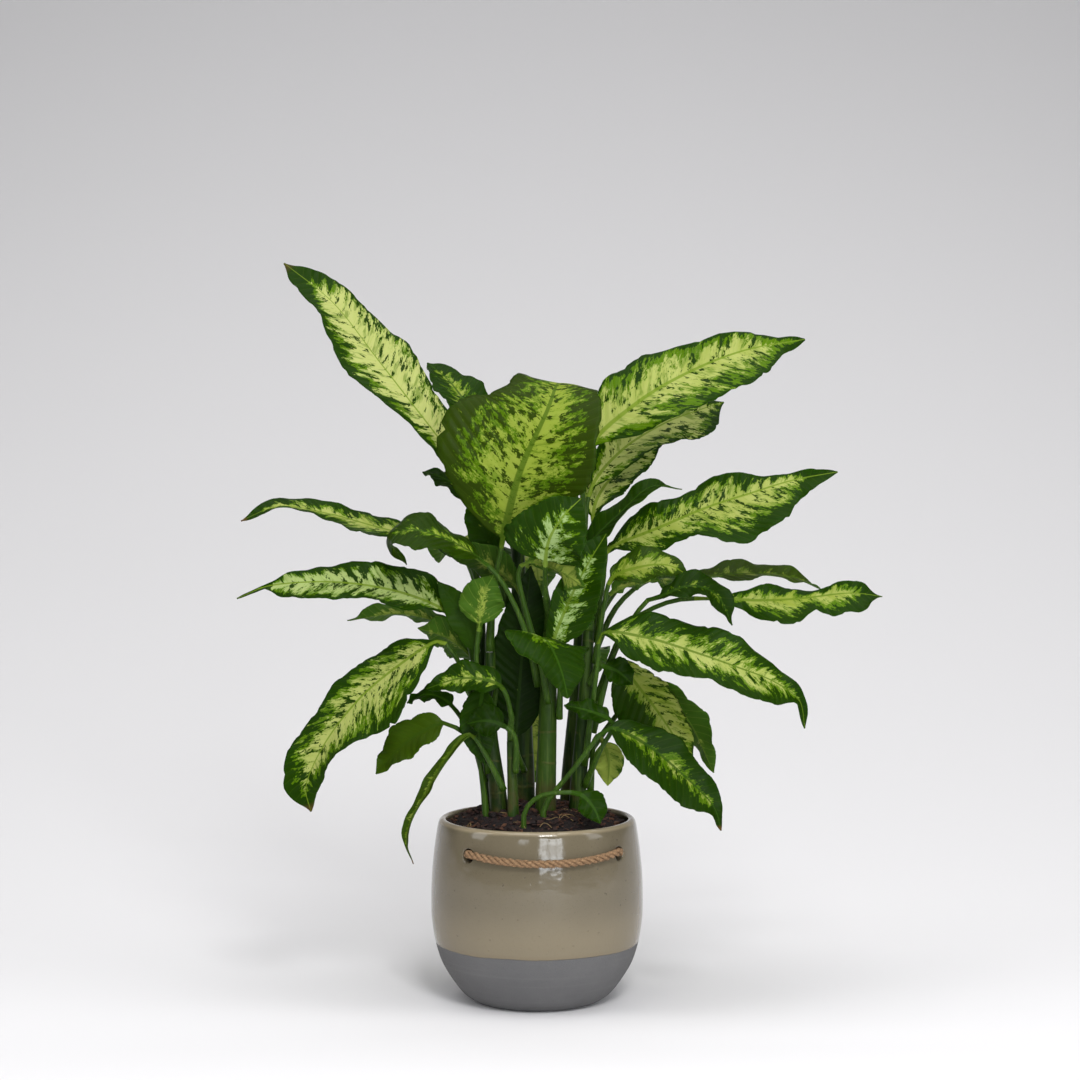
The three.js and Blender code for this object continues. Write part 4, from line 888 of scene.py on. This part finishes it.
def make_rope():
    path, count, radius, sides = rope_path(), ROPE["steps"], ROPE["radius"], ROPE["sides"]
    even = np.linspace(0, 1, count)
    places, length = places_at(path, 0, len(path) - 1, even)
    centres = on_curve(path, places)
    across, up = side_frames(path, places)
    parts = []
    for strand in range(3):
        a = FULL_TURN * (length / ROPE["pitch"] * even + strand / 3)
        off = radius * ROPE["lay"]
        line = centres + across * (off * np.cos(a))[:, None] + up * (off * np.sin(a))[:, None]
        parts.append((*tube(line, radius * ROPE["strand"], sides), lay_of(np.linspace(0, length / 3, count), sides)))
    # loose fibres
    draw = random.Random(5)
    for _ in range(ROPE["hairs"]):
        i = draw.randrange(30, count - 30)
        a = draw.uniform(0, FULL_TURN)
        out = across[i] * math.cos(a) + up[i] * math.sin(a)
        along = unit(centres[i + 1] - centres[i]) * draw.choice((-1, 1))
        root = centres[i] + out * radius * 0.92
        grow = draw.uniform(1.5, 5.0)
        hair = [root, root + along * grow * 0.5 + out * 0.5, root + along * grow + out * draw.uniform(0.2, 1.2)]
        vertices, faces = tube(hair, 0.07, 4)
        parts.append((vertices, faces, np.full((len(vertices), 2), draw.uniform(0, 9))))
    material = rope_material()
    rope = make_rope_piece("rope_look", parts, material)
    # each knot is three tilted loops
    parts = []
    for side in ("left", "right"):
        knot = around(ROPE["knot_at"] - 5, HOLE[side], HOLE["height"])
        for tilt in (0, 1.05, 2.1):
            loop = [knot + np.array([math.cos(a), *turned(math.sin(a), 0, tilt)]) * (ROPE["knot"] - radius)
                    for a in full_circle(24)]
            parts.append((*tube([*loop, loop[0]], radius * 0.9, 10), lay_of(np.arange(25), 10)))
    knots = make_rope_piece("rope_knots", parts, material)
    exit_point = around(ROPE["mouth_at"], HOLE["left"] + 0.4, ROPE["height"]) * MM
    [tuple(p) for p in centres[::7] * MM]


make_rope()

# -------- soil


def soil_material():
    n = Nodes("potting_mix")
    crumb = n.noise(260, 5, 0.7)
    colour = n.ramp(crumb, (0.3, (3, 1, 1)), (0.5, (14, 6, 5)), (0.62, (40, 19, 14)), (0.75, (92, 60, 40)))
    colour = n.mix(n.noise(50, 3, 0.6) * 0.5, colour, (26, 10, 11))
    return n.set(base_color=colour, roughness=0.92, normal=n.bump(crumb, 0.8, 0.003))


def chip_material():
    n = Nodes("bark")
    grain = n.noise(320, 4, 0.7)
    colour = n.ramp(n.noise(120, 2, 0.6), (0.35, (14, 6, 5)), (0.5, (42, 20, 14)), (0.68, (104, 66, 42)))
    colour = n.mix(grain * 0.4, colour, (40, 22, 18))
    return n.set(base_color=colour, roughness=0.85, normal=n.bump(grain, 0.6, 0.001))


def root_material():
    n = Nodes("dry_root")
    fibre = n.noise(400, 3, 0.6)
    colour = n.mix(fibre, (74, 56, 34), (158, 132, 86))
    return n.set(base_color=colour, roughness=0.8, normal=n.bump(fibre, 0.4, 0.0004))


def soil_height(r):
    """Height of the mound at a radius."""
    radii, heights = zip(*SOIL["mound"])
    return np.interp(r, radii, heights)


def chip(draw):
    """A flat broken piece of bark, lying on the mound: a box with its corners pushed about."""
    r, a = 83 * math.sqrt(draw.random()), draw.uniform(0, FULL_TURN)
    size = draw.choice((1.2, 1.6, 2.2, 3.0, 4.2))
    centre = np.array([r * math.cos(a), r * math.sin(a), float(soil_height(r)) + draw.uniform(-0.8, 1.0)])
    spin, tip = draw.uniform(0, math.pi), draw.uniform(-0.5, 0.5)
    half = [size * draw.uniform(*shares) for shares in ((0.8, 1.6), (0.4, 0.9), (0.15, 0.4))]
    corners = []
    for sz in (-1, 1):
        for sx, sy in ((-1, -1), (1, -1), (1, 1), (-1, 1)):
            x, y, z = (s * h * draw.uniform(0.55, 1) for s, h in zip((sx, sy, sz), half))
            x, z = turned(x, z, tip)
            corners.append(centre + np.array([*turned(x, y, spin), z]))
    faces = [(0, 3, 2, 1), (4, 5, 6, 7), (0, 1, 5, 4), (1, 2, 6, 5), (2, 3, 7, 6), (3, 0, 4, 7)]
    return np.array(corners), faces, 1


def dry_root(draw):
    """A thin root that arches just over the mound and goes in at both ends."""
    r, a, bend = draw.uniform(34, 78), draw.uniform(0, FULL_TURN), draw.uniform(-0.3, 0.3)
    reach, lift = draw.uniform(8, 20), draw.uniform(1, 2.4)
    path = []
    for k, rise in enumerate((-1.2, 0.8, 1.0, 0.6, -1.2)):
        turn = a + (bend * k + (k - 2)) * reach / (4 * r)
        away = min(r + bend * reach * math.sin(k), 82)
        path.append((away * math.cos(turn), away * math.sin(turn), float(soil_height(away)) + rise * lift * 0.6))
    return *tube(path, draw.uniform(0.25, 0.45), 6, np.linspace(0, 4, 17)), 2


def make_soil():
    sides = SOIL["sides"]
    R, A = np.meshgrid(np.linspace(0.5, 85.4, SOIL["steps"]), full_circle(sides), indexing="ij")
    rough = np.random.default_rng(11).normal(0, 1.0, R.shape)
    rough = (rough + np.roll(rough, 1, 1) + np.roll(rough, -1, 1)) / 3
    waves = 1.3 * np.sin(R * 0.23 + A * 3) + 1.1 * np.sin(R * 0.41 - A * 5 + 1.3)
    top = np.stack([R * np.cos(A), R * np.sin(A), soil_height(R) - 1 + waves + rough * 1.4], -1)
    rings = np.concatenate([top, np.array(circles(SOIL["skirt"], sides))])
    draw = random.Random(3)
    parts = [(*loft(rings[::-1])[:2], 0)]
    parts += [chip(draw) for _ in range(SOIL["chips"])]
    parts += [dry_root(draw) for _ in range(SOIL["roots"])]
    vertices, faces, slots = joined(parts)
    skins = [soil_material(), chip_material(), root_material()]
    stands_for(make_object("soil_look", vertices, faces, skins, slots, smooth_faces=False), "soil", "soil")


make_soil()

# -------- floor, backdrop and light


def make_stage():
    """A pale floor that rises into a pale wall far behind."""
    n = Nodes("pale_floor")
    n.set(base_color=(0.80, 0.79, 0.80, 1), roughness=0.8, specular_ior_level=0.1)
    half_width, bend_at, bend = 30, 0.35, 5
    profile = [(-30.0, 0.0), (-1.0, 0.0), (bend_at, 0.0)]
    for k in range(1, 31):
        a = math.radians(3 * k)
        profile.append((bend_at + bend * math.sin(a), bend * (1 - math.cos(a))))
    vertices = [(x / MM, y / MM, z / MM) for y, z in profile for x in (-half_width, half_width)]
    faces = [(2 * k, 2 * k + 1, 2 * k + 3, 2 * k + 2) for k in range(len(profile) - 1)]
    make_object("floor", vertices, faces, [n.material])


def make_light(name, place, target, width, height, power, colour=(1, 1, 1)):
    data = bpy.data.lights.new(name, "AREA")
    data.shape = "RECTANGLE"
    data.size, data.size_y = width, height
    data.energy, data.color = power, colour
    lamp = bpy.data.objects.new(name, data)
    lamp.location = place
    lamp.rotation_euler = (Vector(target) - Vector(place)).to_track_quat("-Z", "Y").to_euler()
    bpy.context.collection.objects.link(lamp)


make_stage()
PLANT, GLAZE, WINDOW_Y, SKY = (0, 0, 0.3), (0, 0, 0.17), -2.2, (0.92, 0.96, 1.0)
# a window of six panes in front and above
for row in range(3):
    for column in range(2):
        pane = (0.28 + 0.34 * column, WINDOW_Y, 1.75 + 0.36 * row)
        make_light("window_%d%d" % (row, column), pane, PLANT, 0.3, 0.32, 7)
# the lower panes, whose image shows in the glaze beside the rope
for row in range(3):
    for column in range(3):
        pane = (0.3 + 0.36 * column, WINDOW_Y, 0.3 + 0.26 * row)
        make_light("low_window_%d%d" % (row, column), pane, GLAZE, 0.3, 0.22, 2.1, SKY)
make_light("side_window", (-0.6, WINDOW_Y, 0.7), GLAZE, 0.3, 0.3, 1.2, SKY)
# soft boxes at the sides, a broad one overhead, and one for the backdrop
make_light("left", (-2.6, -0.9, 1.5), PLANT, 1.0, 2.0, 18)
make_light("right", (2.6, -0.9, 1.5), PLANT, 1.0, 2.0, 16)
make_light("overhead", (0, -0.7, 3.2), (0, -0.4, 0), 3.0, 2.4, 57)
make_light("behind", (0, 1.2, 3.2), (0, 3.4, 0.1), 5.0, 1.0, 50)

world = bpy.data.worlds.new("room")
world.use_nodes = True
background = world.node_tree.nodes["Background"]
background.inputs[0].default_value = (0.95, 0.97, 1.0, 1)
background.inputs[1].default_value = 0.07
bpy.context.scene.world = world
bpy.context.scene.view_settings.view_transform = "Standard"
